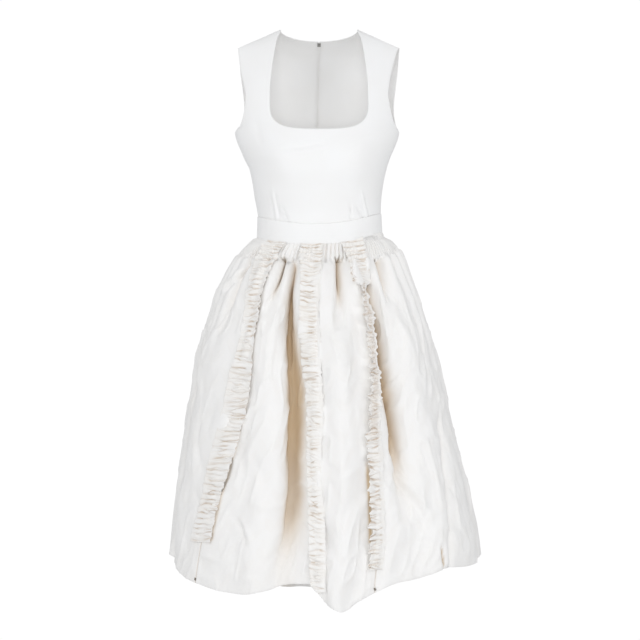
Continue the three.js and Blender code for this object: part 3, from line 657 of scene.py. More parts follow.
def shell(name, points, normals, thick, material, places, keep=None, deep=None):
    """A closed thin shell on a grid of outer points, with a rounded edge. keep says which cells are cloth."""
    rows, columns = points.shape[:2]
    cells = np.ones((rows - 1, columns - 1), bool) if keep is None else keep
    number = np.arange(rows * columns).reshape(rows, columns)
    a, b = number[:-1, :-1][cells], number[:-1, 1:][cells]
    c, d = number[1:, 1:][cells], number[1:, :-1][cells]
    outer = np.stack((a, b, c, d), 1)
    count = rows * columns
    edges = np.concatenate((outer[:, (0, 1)], outer[:, (1, 2)], outer[:, (2, 3)], outer[:, (3, 0)]))
    alone = ~np.isin(edges[:, 0] * count + edges[:, 1], edges[:, 1] * count + edges[:, 0])
    border = edges[alone]
    flat_points, flat_normals = points.reshape(-1, 3), normals.reshape(-1, 3)
    flat_thick = np.broadcast_to(thick, (rows, columns)).reshape(-1)[:, None]
    flat_inner = flat_points - flat_normals * flat_thick
    flat_middle = flat_points - flat_normals * (flat_thick / 2)
    # The edge is round: it bulges away from the cloth.
    owner = np.concatenate([flat_points[outer].mean(1)] * 4)[alone]
    push = unit(flat_middle[border].mean(1) - owner)
    bulge = np.zeros((count, 3))
    for side in (0, 1):
        np.add.at(bulge, border[:, side], push)
    on_border = np.unique(border)
    away = np.zeros((count, 3))
    away[on_border] = unit(bulge[on_border])
    all_points = [flat_points, flat_inner]
    rings = [np.arange(count)]
    for turn in math.pi * np.arange(1, RIM_STEPS + 1) / (RIM_STEPS + 1):
        ring = (flat_middle + flat_normals * (flat_thick / 2 * math.cos(turn))
                + away * (flat_thick * RIM_BULGE * math.sin(turn)))
        lookup = np.full(count, -1)
        lookup[on_border] = sum(len(p) for p in all_points) + np.arange(len(on_border))
        all_points.append(ring[on_border])
        rings.append(lookup)
    rings.append(np.arange(count) + count)
    faces = [outer, outer[:, ::-1] + count]
    first, second = border[:, 0], border[:, 1]
    for above, below in zip(rings, rings[1:]):
        faces.append(np.stack((above[second], above[first], below[first], below[second]), 1))
    merged, faces = np.concatenate(all_points), np.concatenate(faces)
    used = np.unique(faces)
    fresh = np.full(len(merged), -1)
    fresh[used] = np.arange(len(used))

    def on_shell(values):
        return np.concatenate([values, values] + [values[on_border]] * RIM_STEPS)[used]

    places = on_shell(np.asarray(places).reshape(-1, 2))
    # deep is painted shade, copied to every point of the shell.
    deep = None if deep is None else on_shell(deep.reshape(-1))
    return make_piece(name, merged[used], fresh[faces], material, places, deep)


def cloth_places(points):
    """Where each grid point lies on the flat cloth: across by the bottom row, and down along each column."""
    across = np.concatenate(([0], np.cumsum(np.linalg.norm(np.diff(points[0], axis=0), axis=-1))))
    steps = np.linalg.norm(np.diff(points, axis=0), axis=-1)
    down = np.concatenate((np.zeros((1, points.shape[1])), np.cumsum(steps, axis=0)))
    down = down[-1].mean() - down * (down[-1].mean() / down[-1])
    return np.stack((np.broadcast_to(across, down.shape), down), -1)


CREASES = ("angle", "height", "reach", "tilt", "bow", "wide", "out")
SKIRT_CREASES = table(
    CREASES,
    (
        (42.8, -1062, 26, 4, 0, 2.4, -7),
        (45.5, -1062, 34, 4, 0, 8, 4),
        (-57, -505, 46, -42, 6, 6, -7),
        (-59.5, -500, 50, -42, 6, 8, 5),
        (-29.5, -1004, 24, 30, 4, 5, -5),
        (-27, -1010, 26, 28, 4, 6, 4),
        (30, -946, 70, 30, 14, 7, -4.5),
        (33, -935, 60, 34, 12, 8, 5),
        (25, -905, 34, 22, -8, 6, -3.5),
        (37, -1010, 44, 40, -12, 7, -3.5),
        (-40, -900, 50, -18, 10, 7, -3.5),
        (-56, -840, 60, 12, -10, 9, -4),
        (-52, -980, 44, 26, 10, 7, -3.5),
        (-22, -930, 60, 8, 6, 8, -3),
        (54, -700, 60, -10, 10, 9, -3.5),
        (58, -900, 52, 14, -9, 8, -4),
        (8, -820, 60, 5, 7, 9, -2.5),
        (6, -1010, 56, -8, -7, 8, -3),
    ),
)


def crease_shift(rows, angle, height):
    """Each crease is a line of its own reach and tilt, with a bow, that pushes the cloth in or out."""
    total = np.zeros(np.broadcast(angle, height).shape)
    per_degree = mm_per_degree(angle, height)
    for crease in rows:
        aside = ((angle - crease["angle"] + 540) % 360 - 180) * per_degree
        up = height - crease["height"]
        cos, sin = math.cos(math.radians(crease["tilt"])), math.sin(math.radians(crease["tilt"]))
        along, off = up * cos - aside * sin, aside * cos + up * sin
        off = off - crease["bow"] * (1 - (along / crease["reach"]) ** 2)
        total += crease["out"] * np.exp(-((off / crease["wide"]) ** 2) - (along / crease["reach"]) ** 4)
    return total


# skirt
SKIRT_THICK = 1.0
SKIRT_ROWS = 184
ROW_CROWD = {"even": 0.72, "crowded": 0.28, "power": 2.2}
COLUMN_CROWD = 0.75
WALK = {"degrees": 16, "steps": 64}
PANELS = table(
    ("node", "start", "end", "columns"),
    (
        ("skirt_front_left", "left_side", "left", 104),
        ("skirt_front_centre_left", "left", "centre", 104),
        ("skirt_front_centre_right", "centre", "right", 84),
        ("skirt_front_right", "right", "right_side", 124),
        ("skirt_back_right", "right_side", "back_right", 122),
        ("skirt_back_left", "back_left", "left_side", 122),
    ),
)
FIXED_SEAMS = {"left_side": -90, "right_side": 90, "back_right": 180, "back_left": -180}


def seam_angle(seam, share):
    """The angle of a seam at shares of the way down, found by closing in on it."""
    if seam in FIXED_SEAMS:
        return np.full(np.shape(share), float(FIXED_SEAMS[seam]))
    angle = np.zeros(np.shape(share))
    for _ in range(12):
        angle = seam_at[seam](skirt_height(angle, share))
    return angle


def walk_round(angle, share, distances):
    """The angles reached by going each distance round the folded cloth from one angle, row by row."""
    turns = np.linspace(-WALK["degrees"], WALK["degrees"], 2 * WALK["steps"] + 1)
    gone = walked(angle[:, None] + turns, share)
    gone -= gone[:, [WALK["steps"]]]
    distances = np.broadcast_to(distances, (len(angle), np.shape(distances)[-1]))
    return np.array([here + np.interp(way, far, turns) for here, way, far in zip(angle, distances, gone)])


def walked(angle, share):
    """The way along the folded cloth to each angle of a row."""
    there = skirt_point(angle, share[:, None])
    steps = np.linalg.norm(np.diff(there, axis=1) * (1, 1, 0), axis=-1)
    return np.concatenate((np.zeros((len(angle), 1)), np.cumsum(steps, axis=1)), axis=1)


def spread_columns(start, end, share, columns):
    """Angles between two edges. They crowd where a fold makes the cloth steep."""
    even = np.linspace(0, 1, 4 * columns + 1)
    angle = mix(start, end, even[None])
    gone = walked(angle, share)
    way = mix(even, gone / gone[:, -1:], COLUMN_CROWD)
    wanted = np.linspace(0, 1, columns + 1)
    return np.array([np.interp(wanted, far, row) for far, row in zip(way, angle)])


CRUMPLED, LEAVES_START = (50, 120), (20, 60)


def skirt_cloth_points(angle, share, across, down):
    """The skirt with all its gathers, creases and woven relief."""
    here, out, _ = skirt_frame(angle, share)
    height = skirt_height(angle, share)
    below = skirt_height(angle, 0) - height
    crumpled = crumple_shift(across, down) * ease((below - CRUMPLED[0]) / CRUMPLED[1])
    creased = crease_shift(SKIRT_CREASES, angle, height)
    leaves = leaf_shift(across, down) * ease((below - LEAVES_START[0]) / LEAVES_START[1])
    return here, out, gather_shift(angle, height) + crumpled + creased + leaves


# Painted shade that turns the ivory tan where shadow and bounce light would fall: deep in a fold, in a
# gather, in a seam, in the slit and beside a ruffle.
FOLD_PAINTED_SHADE = {"deep": 42, "power": 1.4, "behind": 0.55, "turn": 0.7, "low": 0.68, "lowers": (-800, 160)}
GATHER_PAINTED_SHADE = {"share": 0.3, "from": 0.5, "over": 7}
SEAM_PAINTED_SHADE = {"share": 0.35, "wide": 1.2, "top": -1000}
SLIT_PAINTED_SHADE = {"from": 2.5, "over": 4}
BESIDE_RUFFLE_PAINTED_SHADOW = {"share": 1.1, "least": 0.5, "off": 1, "wide": 4, "end": -1030, "bare": (-860, 40)}


def beside_ruffle(name, side, distance, height):
    """The shade that a proud edge of a ruffle throws on the cloth beside it."""
    reach = curve(RUFFLE_REACH[name], "height", side)(height)
    proud = max(RUFFLES[name]["proud_" + side] - BESIDE_RUFFLE_PAINTED_SHADOW["least"], 0)
    shown = below_level(height, BESIDE_RUFFLE_PAINTED_SHADOW["bare"]) if name == "right" else 1
    shown = shown * (height > BESIDE_RUFFLE_PAINTED_SHADOW["end"])
    off = (distance - reach - BESIDE_RUFFLE_PAINTED_SHADOW["off"]) / BESIDE_RUFFLE_PAINTED_SHADOW["wide"]
    return BESIDE_RUFFLE_PAINTED_SHADOW["share"] * proud * np.exp(-(off**2)) * shown


def panel_painted_shade(panel, angle, height, across, gathers):
    from_start, from_end = across, across[:, -1:] - across
    from_seam = np.minimum(from_start, from_end)
    seam = SEAM_PAINTED_SHADE["share"] * np.exp(-((from_seam / SEAM_PAINTED_SHADE["wide"]) ** 2)) * (height < SEAM_PAINTED_SHADE["top"])
    for name, side, distance in ((panel["start"], "right", from_start), (panel["end"], "left", from_end)):
        if name in RUFFLES:
            seam = seam + beside_ruffle(name, side, distance, height)
    slit = ease((-crease_shift(SKIRT_CREASES[:1], angle, height) - SLIT_PAINTED_SHADE["from"]) / SLIT_PAINTED_SHADE["over"])
    fold_shade_strength = mix(FOLD_PAINTED_SHADE["behind"], 1, ease(np.cos(np.radians(angle)) + FOLD_PAINTED_SHADE["turn"]))
    fold_shade_strength = fold_shade_strength * mix(1, FOLD_PAINTED_SHADE["low"], below_level(height, FOLD_PAINTED_SHADE["lowers"]))
    hollow = ease(-fold_shift(angle, height)[0] / FOLD_PAINTED_SHADE["deep"]) ** FOLD_PAINTED_SHADE["power"]
    small = GATHER_PAINTED_SHADE["share"] * ease((-gathers - GATHER_PAINTED_SHADE["from"]) / GATHER_PAINTED_SHADE["over"])
    return np.clip(fold_shade_strength * hollow + small + seam + slit, 0, 1)


SEAM_STEPS = (SEAM_GAP / 2, 1.2, 2.6)
SEAM_PINCH = {"deep": -1.3, "wide": 1.8, "plain": 12}
PANELS_APART = 500


def make_panel(panel, share):
    start, end = (seam_angle(panel[side], share) for side in ("start", "end"))
    near = walk_round(start, share, SEAM_STEPS)
    far = walk_round(end, share, [-step for step in reversed(SEAM_STEPS)])
    between = spread_columns(near[:, 2:3], far[:, 0:1], share, panel["columns"])
    angle = np.concatenate((near[:, :2], between, far[:, 1:]), axis=1)
    shares = np.broadcast_to(share[:, None], angle.shape)
    places = cloth_places(skirt_point(angle, shares)[::-1])[::-1]
    across, down = places[..., 0], places[..., 1]
    here, out, shift = skirt_cloth_points(angle, shares, across + PANELS_APART * PANELS.index(panel), down)
    from_seam = np.minimum(across, across[:, -1:] - across)
    height = skirt_height(angle, shares)
    gathers = gather_shift(angle, height)
    held = mix(gathers, shift, ease(from_seam / SEAM_PINCH["plain"]))
    pinch = SEAM_PINCH["deep"] * np.exp(-((from_seam / SEAM_PINCH["wide"]) ** 2))
    up = (here + out * (held + pinch)[..., None])[::-1]
    # Painted shade of this panel, kept as its deep attribute.
    deep = panel_painted_shade(panel, angle, height, across, gathers)[::-1]
    name = panel["node"] + "_cloth"
    return shell(name, up, grid_normals(up), SKIRT_THICK, SKIRT_CLOTH, places[::-1], deep=deep)


def make_skirt():
    share = np.linspace(0, 1, SKIRT_ROWS + 1)
    share = ROW_CROWD["even"] * share + ROW_CROWD["crowded"] * share ** ROW_CROWD["power"]
    return {panel["node"]: make_panel(panel, share) for panel in PANELS}


# ruffles
RUFFLES = {row["name"]: row for row in table(
    ("name", "ends", "waves", "curl", "proud_left", "proud_right"),
    (("left", -1032, 62, 0, 0.5, 1), ("centre", -1121, 66, 0, 0.8, 0.15), ("right", -1078, 64, 1.1, 1.5, 0)),
)}
RUFFLE_REACH = {
    "left": table(("height", "left", "right"), (
        (-440, 21, 22), (-500, 20, 20), (-560, 18, 18), (-630, 18, 17), (-700, 26, 25), (-790, 29, 27),
        (-880, 28, 26), (-950, 24, 23), (-1032, 27, 26))),
    "centre": table(("height", "left", "right"), (
        (-440, 23, 22), (-520, 19, 19), (-610, 21, 19), (-700, 19, 17), (-780, 16, 17), (-880, 12.5, 14),
        (-980, 15, 16), (-1121, 15, 16))),
    "right": table(("height", "left", "right"), (
        (-440, 20, 21), (-500, 18, 19), (-512, 19, 18), (-526, 20, 3), (-700, 27, 3), (-790, 27, 4),
        (-860, 20, 11), (-980, 15, 11), (-1078, 14, 13))),
}
# Where the edges of the right ruffle are, seen from the front, while it stands on the lip of a fold.
RUFFLE_BRIDGE = table(("height", "left", "right"), (
    (-466, 57, 93), (-497, 61.5, 98), (-520, 66, 101), (-527, 80, 94), (-556, 83, 96), (-585, 90, 106),
    (-615, 92, 109), (-642, 97, 112), (-670, 99, 113), (-697, 101, 117), (-724, 101, 118), (-752, 97, 118),
    (-870, 96, 115)))
RUFFLE_THICK = 0.8
RUFFLE_ACROSS = 26
RUFFLE_STEPS = 10
COURSE_STEPS = 400
GATHERED_LENGTH = 1.6
TOP_SHARE = 0.0005
SLOPED_ROWS = 60
# Levels at which something starts going down the ruffle, each with the way that it takes.
LIP_FROM, LIP_TO = (-466, 24), (-862, 70)
PROUD_FROM, CURLED_FROM, STANDING_FROM, BRIDGED_FROM = (-470, 60), (-510, 40), (-522, 14), (-518, 12)
BRIDGE = {"look": 60, "step": 2, "near": 4, "smooth": 10, "left_out": 3, "right_out": 2, "deep": 9}
# How far a ruffle stands out of the skirt, on its rolls and at its edges.
STRIP = {"lift": 1, "over_gathers": 0.7, "tall": 5, "middle": 0.8, "side": 0.3, "even": 0.9, "flat": 0.12,
         "stand": 1.4, "stand_even": 0.7, "standing": 3, "curled": 1.4}
FRILL = {"wide": 2.6, "with_rolls": 0.6, "curled": 3, "standing": 4.5}
# Painted shade in the ruffle's creases, in its curls and where it stands on the lip of a fold.
RUFFLE_CREASE_PAINTED_SHADE = {"least": 0.35, "most": 1.1, "middle": 0.35, "power": 1.1, "curled": 0.5, "standing": 0.32}
# A field's size, its step down the strip, its start and turns across it, and its layer, if not the strip's.
STRIP_FIELDS = {
    "tall": (0.5, 15, 0, 1.4, 3),
    "stand": (0.6, 12, 0, 1, None),
    "frill": (1, 5, 0, 0.4, None),
    "curled_frill": (1, 12, 3.7, 0, 2),
    "standing_frill": (1, 6.5, 5.1, 0.7, 2),
    "standing": (1, 6, 4, 1, 3),
    "curled": (1, 6.5, 9.5, 0, 1),
    "crease_shade_strength": (0.9, 28, 0, 1.5, 2),
}
# How deep a kind of crease is, the least and most between two, and how far across they can reach (all is 9).
CREASE_KINDS = (
    (0.9, 5.5, 14, (9, 0.3, -0.3, 0, 0, 0.6, -0.6)),
    (0.6, 3.5, 13, (0, 0, -0.4, 0.4, -0.6, 0.6)),
)
ROLLS = {"first": 1, "beyond": 6, "tilt": 2.8, "bow": 2, "wide": (1, 2.1), "deep": (0.6, 1.1), "all": 9,
         "past": 0.3, "fades": 0.5, "lowest": -0.15, "stray": 2, "across": 1.9, "down": 9}


def ruffle_rolls(down, side, whole, seed):
    """The height of a ruched strip, 0 in its creases and 1 on its rolls. Many creases stop part way."""
    chance = np.random.default_rng(seed)
    height = np.ones(down.shape)
    for narrow, least, most, partly in CREASE_KINDS:
        place = ROLLS["first"]
        while place < whole + ROLLS["beyond"]:
            tilt, bow = chance.normal(0, ROLLS["tilt"]), chance.normal(0, ROLLS["bow"])
            wide, deep = narrow * chance.uniform(*ROLLS["wide"]), narrow * chance.uniform(*ROLLS["deep"])
            reach = chance.choice(partly)
            line = down - place - tilt * side - bow * side * side
            line = line + ROLLS["stray"] * uneven(side * ROLLS["across"] + place, place / ROLLS["down"], 1)
            part = ease((abs(reach) + ROLLS["past"] - side * np.sign(reach)) / ROLLS["fades"])
            part = part if abs(reach) < ROLLS["all"] else 1
            height -= deep * part * np.exp(-((line / wide) ** 2))
            place += chance.uniform(least, most)
    return np.maximum(height, ROLLS["lowest"])


def bridge_ends(seam, share, height):
    """The two edges of the right ruffle where it stands over the trough beside it, row by row."""
    gone = np.arange(-BRIDGE["look"], BRIDGE["look"] + 1, BRIDGE["step"])
    here = skirt_point(walk_round(seam, share, gone), share[:, None])
    left, right = (curve(RUFFLE_BRIDGE, "height", side)(height) for side in ("left", "right"))

    def front_of(across):
        near = np.abs(here[..., 0] - across[:, None]) < BRIDGE["near"]
        depth = np.where(near, here[..., 1], 0).min(axis=1)
        rows = 2 * BRIDGE["smooth"] + 1
        return np.convolve(np.pad(depth, BRIDGE["smooth"], mode="edge"), np.ones(rows) / rows, mode="valid")

    edge = front_of(left) - BRIDGE["left_out"]
    far = mix(front_of(right) - BRIDGE["right_out"], edge + BRIDGE["deep"], below_level(height, BRIDGED_FROM))
    return np.stack((left, edge, height), -1)[:, None], np.stack((right, far, height), -1)[:, None]


def over_the_gap(here, out, sideways, across, share, first, last):
    """Where share is 1 the strip goes straight from its left edge to its right edge, off the cloth."""
    straight = mix(first, last, (across[..., None] + 1) / 2)
    along = np.broadcast_to(unit(last - first), here.shape)
    away = unit(np.cross(along, (0, 0, 1)))
    share = share[..., None]
    return mix(here, straight, share), unit(mix(out, away, share)), unit(mix(sideways, along, share))


def ruffle_course(ruffle):
    """How far along its seam each row of a ruffle is, with the share and the angle there."""
    share = np.linspace(TOP_SHARE, 1, COURSE_STEPS)
    seam = seam_angle(ruffle["name"], share)
    line = skirt_point(seam, share)
    last = min(np.searchsorted(-line[:, 2], -ruffle["ends"]), COURSE_STEPS - 1)
    gone = np.concatenate(([0], np.cumsum(np.linalg.norm(np.diff(line, axis=0), axis=-1))))
    along = np.linspace(0, gone[last], ruffle["waves"] * RUFFLE_STEPS + 1)
    return along, np.interp(along, gone, share), np.interp(along, gone, seam)


def ruffle_grid(ruffle, share, seam, side):
    """The angles and shares of a ruffle's points. Its rows follow the band at the top and are level below."""
    at = skirt_height(seam, share)[:, None]
    rows = RUFFLE_REACH[ruffle["name"]]
    reach_left, reach_right = (curve(rows, "height", way)(at) for way in ("left", "right"))
    reach = np.where(side < 0, side * reach_left, side * reach_right)
    angle = walk_round(seam, share, reach)
    top, hem = skirt_height(angle, 0), skirt_height(angle, 1)
    band = skirt_height(seam, 0)[:, None]
    shares = (top - mix(at, at + top - band, 1 - ease((band - at) / SLOPED_ROWS))) / (top - hem)
    return angle, np.clip(shares, TOP_SHARE, 1), reach


def make_ruffle(ruffle, layer):
    along, share, seam = ruffle_course(ruffle)
    side = np.linspace(-1, 1, RUFFLE_ACROSS + 1)
    at = skirt_height(seam, share)[:, None]
    angle, shares, reach = ruffle_grid(ruffle, share, seam, side)
    here, out, sideways = skirt_frame(angle, shares)
    across = np.broadcast_to(side[None], angle.shape)
    down = along[:, None] * np.ones_like(angle)
    edge = np.abs(across)
    over_lip = below_level(at, LIP_FROM) * ease((at - LIP_TO[0]) / LIP_TO[1]) * (ruffle["curl"] > 0)
    if ruffle["curl"]:
        first, last = bridge_ends(seam, share, at[:, 0])
        here, out, sideways = over_the_gap(here, out, sideways, across, over_lip, first, last)

    def field(name):
        size, step, start, turns, lattice = STRIP_FIELDS[name]
        return size * uneven(down / step, start + across * turns, layer if lattice is None else lattice)

    skin = gather_shift(angle, skirt_height(angle, shares)) * (1 - over_lip)
    proud = np.where(across < 0, ruffle["proud_left"], ruffle["proud_right"])
    free = 1 - below_level(at, PROUD_FROM) * (1 - proud)
    held = np.clip(1 - free, 0, 1) * ease((edge - 0.25) / 0.75)
    rolls = 1 - (1 - ruffle_rolls(down, across, along[-1], 40 + layer)) * (1 - held)
    free = mix(1, free, ease(edge / 0.9))
    tall = STRIP["tall"] * (STRIP["middle"] + STRIP["side"] * edge**2) * (STRIP["even"] + field("tall"))
    tall = tall * mix(STRIP["flat"], 1, free)
    stand = STRIP["stand"] * ease((edge - 0.45) / 0.55) * (STRIP["stand_even"] + field("stand")) * free
    lift = RUFFLE_THICK + STRIP["lift"] * free + np.maximum(skin, 0) * STRIP["over_gathers"]
    lift = lift + tall * rolls + stand
    curl = 1 + ruffle["curl"] * below_level(at, CURLED_FROM) * (across < 0)
    standing = over_lip * below_level(at, STANDING_FROM)
    frill = FRILL["wide"] * curl * edge**2 * np.sign(across) * (field("frill") + FRILL["with_rolls"] * rolls)
    frill = frill + FRILL["curled"] * (curl - 1) * ease((edge - 0.3) / 0.7) * field("curled_frill")
    frill = frill + FRILL["standing"] * standing * ease((edge - 0.2) / 0.8) * field("standing_frill")
    lift = lift + STRIP["standing"] * standing * field("standing")
    lift = lift + STRIP["curled"] * (curl - 1) * edge**2 * field("curled")
    up = (here + out * lift[..., None] + sideways * frill[..., None])[::-1]
    places = np.stack((reach, down * GATHERED_LENGTH), -1)[::-1]
    # Painted shade in the creases between rolls, in the curls and on the standing frill, kept as the deep
    # attribute.
    crease_shade_strength = RUFFLE_CREASE_PAINTED_SHADE["least"] + RUFFLE_CREASE_PAINTED_SHADE["most"] * ease(RUFFLE_CREASE_PAINTED_SHADE["middle"] + field("crease_shade_strength"))
    deep = crease_shade_strength * np.clip(1 - rolls, 0, 1) ** RUFFLE_CREASE_PAINTED_SHADE["power"]
    deep = deep + RUFFLE_CREASE_PAINTED_SHADE["curled"] * (curl - 1) * (edge > 0.8) * ease(1 - rolls)
    deep = np.clip(deep + RUFFLE_CREASE_PAINTED_SHADE["standing"] * standing * ease((0.9 - edge) / 0.5), 0, 1)[::-1]
    name = f"ruffle_{ruffle['name']}_cloth"
    return shell(name, up, grid_normals(up), RUFFLE_THICK, RUFFLE_CLOTH, places, deep=deep)


BAR_TACK = {"long": 5, "wide": 1.6, "high": 0.9, "turns": 9, "steps": 16, "proud": 0.4, "thread": 0.35}


def make_bar_tack(seam, height):
    """A short row of close stitches across the foot of a seam, as one thread that goes to and fro."""
    angle = float(seam_at[seam](height))
    top, hem = skirt_height(angle, 0), skirt_height(angle, 1)
    here, out, sideways = skirt_frame(np.array([angle]), np.array([(top - height) / (top - hem)]))
    here, out, sideways = here[0] + out[0] * BAR_TACK["proud"], out[0], sideways[0]
    down = np.cross(sideways, out)
    turn = np.linspace(0, BAR_TACK["turns"] * 2 * np.pi, BAR_TACK["turns"] * BAR_TACK["steps"] + 1)
    wide, high = BAR_TACK["wide"] * np.cos(turn), BAR_TACK["high"] * np.sin(turn)
    long = BAR_TACK["long"] * (turn / turn[-1] - 0.5)
    line = here + sideways * wide[:, None] + down * long[:, None] + out * high[:, None]
    return swept(f"bar_tack_{seam}", line, BAR_TACK["thread"], 6, TACK_THREAD)


def swept(name, line, radius, sides, material):
    """A round thread along a line, with flat ends."""
    along = unit(np.gradient(line, axis=0))
    aside = unit(np.cross(along, (0.31, 0.17, 0.93)))
    other = np.cross(along, aside)
    turn = np.linspace(0, 2 * np.pi, sides + 1)[:-1, None]
    rings = line[:, None] + radius * (aside[:, None] * np.cos(turn) + other[:, None] * np.sin(turn))
    number = np.arange(len(line) * sides).reshape(len(line), sides)
    beside = np.roll(number, -1, axis=1)
    faces = np.stack((number[:-1], beside[:-1], beside[1:], number[1:]), -1).reshape(-1, 4).tolist()
    faces += [number[0, ::-1].tolist(), number[-1].tolist()]
    return make_piece(name, rings.reshape(-1, 3), faces, material)


# bodice and band
BODICE_THICK = 1.6
BODICE_ROUND, BAND_ROUND = 2.4, 2.2
BODICE_FIELDS = ((0.5, 60, 70, 1), (0.25, 25, 40, 2))
SOFTNESS = 0.6
BAND_PROUD = 1
BAND_THICK = 2
BAND_ROWS = 24
BAND_FIELDS = ((0.35, 14, 30, 2), (0.2, 5, 60, 1))
BAND_CROWN = 0.5
FRONT_TUCKS = table(
    CREASES,
    (
        (-42, -364, 28, 2, 0, 3, 3),
        (-38.5, -366, 26, 4, 0, 2, -2.6),
        (-45.5, -366, 26, 0, 0, 2.2, -1.8),
        (-30.5, -384, 24, 22, 0, 1.8, -3.6),
        (-32.5, -380, 22, 22, 0, 2.6, 2),
        (28, -381, 18, 2, 0, 1.8, -3.2),
        (39.4, -382, 20, 36, 0, 2, -3.2),
        (45, -366, 30, 18, 0, 3, 3.4),
        (48, -366, 26, 18, 0, 2.2, -2),
        (-6, -246, 40, -80, 3, 3.5, -1.8),
        (-7, -253, 38, -80, 3, 5, 1.4),
        (30, -236, 24, -60, -2, 5, -1),
        (-44, -215, 30, 8, 2, 6, -1.2),
        (-120, -350, 30, 10, 3, 5, -1.2),
        (126, -345, 34, -12, -3, 5, -1.2),
        (-150, -372, 24, -6, 0, 2.5, 1.6),
        (152, -370, 26, 8, 0, 2.5, 1.6),
    ),
)


def bodice_shift(angle, height):
    """Slight waves of the fitted cloth, and the small tucks above the band."""
    soft = sum(wander(angle * BODICE_ROUND, height, field) for field in BODICE_FIELDS)
    above = height - bodice_hem(angle)
    turned_in = -np.exp(-((above / 2) ** 2))
    return soft * SOFTNESS + crease_shift(FRONT_TUCKS, angle, height) + turned_in


def fill_grid(bottom, top, start, end, u, v):
    """A grid of angle and height between four edges."""
    low, high = bottom(u), top(u)
    left, right = start(v), end(v)
    up = mix(low[None], high[None], v[:, None, None])
    side = mix(left[:, None], right[:, None], u[None, :, None])
    corner_low = mix(low[0], low[-1], u[:, None])
    corner_high = mix(high[0], high[-1], u[:, None])
    return up + side - mix(corner_low[None], corner_high[None], v[:, None, None])


def bodice_hem(angle):
    return band_edge(BAND_TOP, angle) + SEAM_GAP / 2


def side_angle(side):
    return side * (90 - SEAM_GAP / 2 / mm_per_degree(90, UNDERARM))


def armhole_open(height):
    return ease((height - UNDERARM) / (ARMHOLES[-1]["height"] - UNDERARM))


def neck_edge(height):
    down = np.clip((NECK_CORNER_TOP - height) / (NECK_CORNER_TOP - NECK_BOTTOM), 0, 1)
    corner = NECK_HALF_WIDTH * (1 - down**NECK_SQUARENESS) ** (1 / NECK_SQUARENESS)
    return np.where(height > NECK_CORNER_TOP, neck_side_at(height), corner)


def neck_floor(across):
    reach = np.minimum(np.abs(across) / NECK_HALF_WIDTH, 1)
    return mix(NECK_CORNER_TOP, NECK_BOTTOM, (1 - reach**NECK_SQUARENESS) ** (1 / NECK_SQUARENESS))


NECK_CORNER = NECK_HALF_WIDTH * 0.5 ** (1 / NECK_SQUARENESS)
NECK_CORNER_HEIGHT = float(neck_floor(NECK_CORNER))


def pair(angle, height):
    return np.stack(np.broadcast_arrays(np.asarray(angle, float), np.asarray(height, float)), -1)


def shoulder_place(share, side, behind):
    across, height = mix(SHOULDER_TIP, NECK_POINT, share), mix(-SHOULDER_FALL, 0, share)
    return pair(angle_at(side * across, height, behind), height)


def armhole_place(share, side, edge, behind):
    height = mix(UNDERARM, -SHOULDER_FALL, share)
    place = angle_at(side * edge(height), height, behind)
    seam = side * 180 - side_angle(side) if behind else side_angle(side)
    return pair(mix(seam, place, armhole_open(height)), height)


def crowd_up(rows):
    return 1 - (1 - np.linspace(0, 1, rows + 1)) ** 1.7


def bodice_shell(name, grid, shoulder, seam_side):
    """Cloth on a grid of angle and height. At the shoulder seam the cut end is upright."""
    angle, height = grid[..., 0], grid[..., 1]
    known = ~np.isnan(angle)
    safe_angle, safe_height = np.where(known, angle, 0), np.where(known, height, -300)
    points = figure_point(safe_angle, safe_height)
    normals = outward(safe_angle, safe_height)
    points = points + normals * (bodice_shift(safe_angle, safe_height) * ease((-safe_height) / 60))[..., None]
    points[shoulder, 1] = seam_side * SEAM_GAP / 2
    normals[shoulder] = (0, 0, 1)
    keep = known[:-1, :-1] & known[:-1, 1:] & known[1:, 1:] & known[1:, :-1]
    places = np.stack((safe_angle * BODICE_ROUND, safe_height), -1)
    return shell(name, points, normals, BODICE_THICK, BODICE_CLOTH, places, keep)


def make_bodice_front():
    strap_columns, neck_columns, low_rows, strap_rows = 26, 64, 60, 62
    columns = 2 * strap_columns + neck_columns

    def top_edge(u):
        column = u * columns
        from_side = np.minimum(column, columns - column) / strap_columns
        side = np.where(column < columns / 2, -1, 1)
        corner = angle_at(side * NECK_CORNER, NECK_CORNER_HEIGHT, False)
        seam = np.where(side < 0, side_angle(-1), side_angle(1))
        strap = pair(mix(seam, corner, from_side), mix(UNDERARM, NECK_CORNER_HEIGHT, from_side))
        across = NECK_CORNER * ((column - columns / 2) / (neck_columns / 2))
        floor = neck_floor(across)
        return np.where((from_side <= 1)[:, None], strap, pair(angle_at(across, floor, False), floor))

    def waist(u):
        angle = mix(side_angle(-1), side_angle(1), u)
        return pair(angle, bodice_hem(angle))

    def side_seam(side):
        return lambda v: pair(side_angle(side), mix(bodice_hem(side * 90), UNDERARM, v))

    u = np.linspace(0, 1, columns + 1)
    low = fill_grid(waist, top_edge, side_seam(-1), side_seam(1), u, np.linspace(0, 1, low_rows + 1))

    def strap(side):
        share = np.linspace(0, 1, strap_columns + 1)
        reach = share * strap_columns / columns

        def foot(s):
            return top_edge(reach if side < 0 else 1 - reach)

        def neck(v):
            height = mix(NECK_CORNER_HEIGHT, 0, v)
            return pair(angle_at(side * neck_edge(height), height, False), height)

        edge = armhole_at["front_left" if side < 0 else "front_right"]
        return fill_grid(foot, lambda s: shoulder_place(s, side, False),
                         lambda v: armhole_place(v, side, edge, False), neck, share, crowd_up(strap_rows))

    left, right = strap(-1)[1:], strap(1)[1:, ::-1]
    gap = np.full((strap_rows, neck_columns - 1, 2), np.nan)
    grid = np.concatenate((low, np.concatenate((left, gap, right), axis=1)))
    shoulder = np.zeros(grid.shape[:2], bool)
    shoulder[-1] = ~np.isnan(grid[-1, :, 0])
    return bodice_shell("bodice_front_cloth", grid, shoulder, -1)


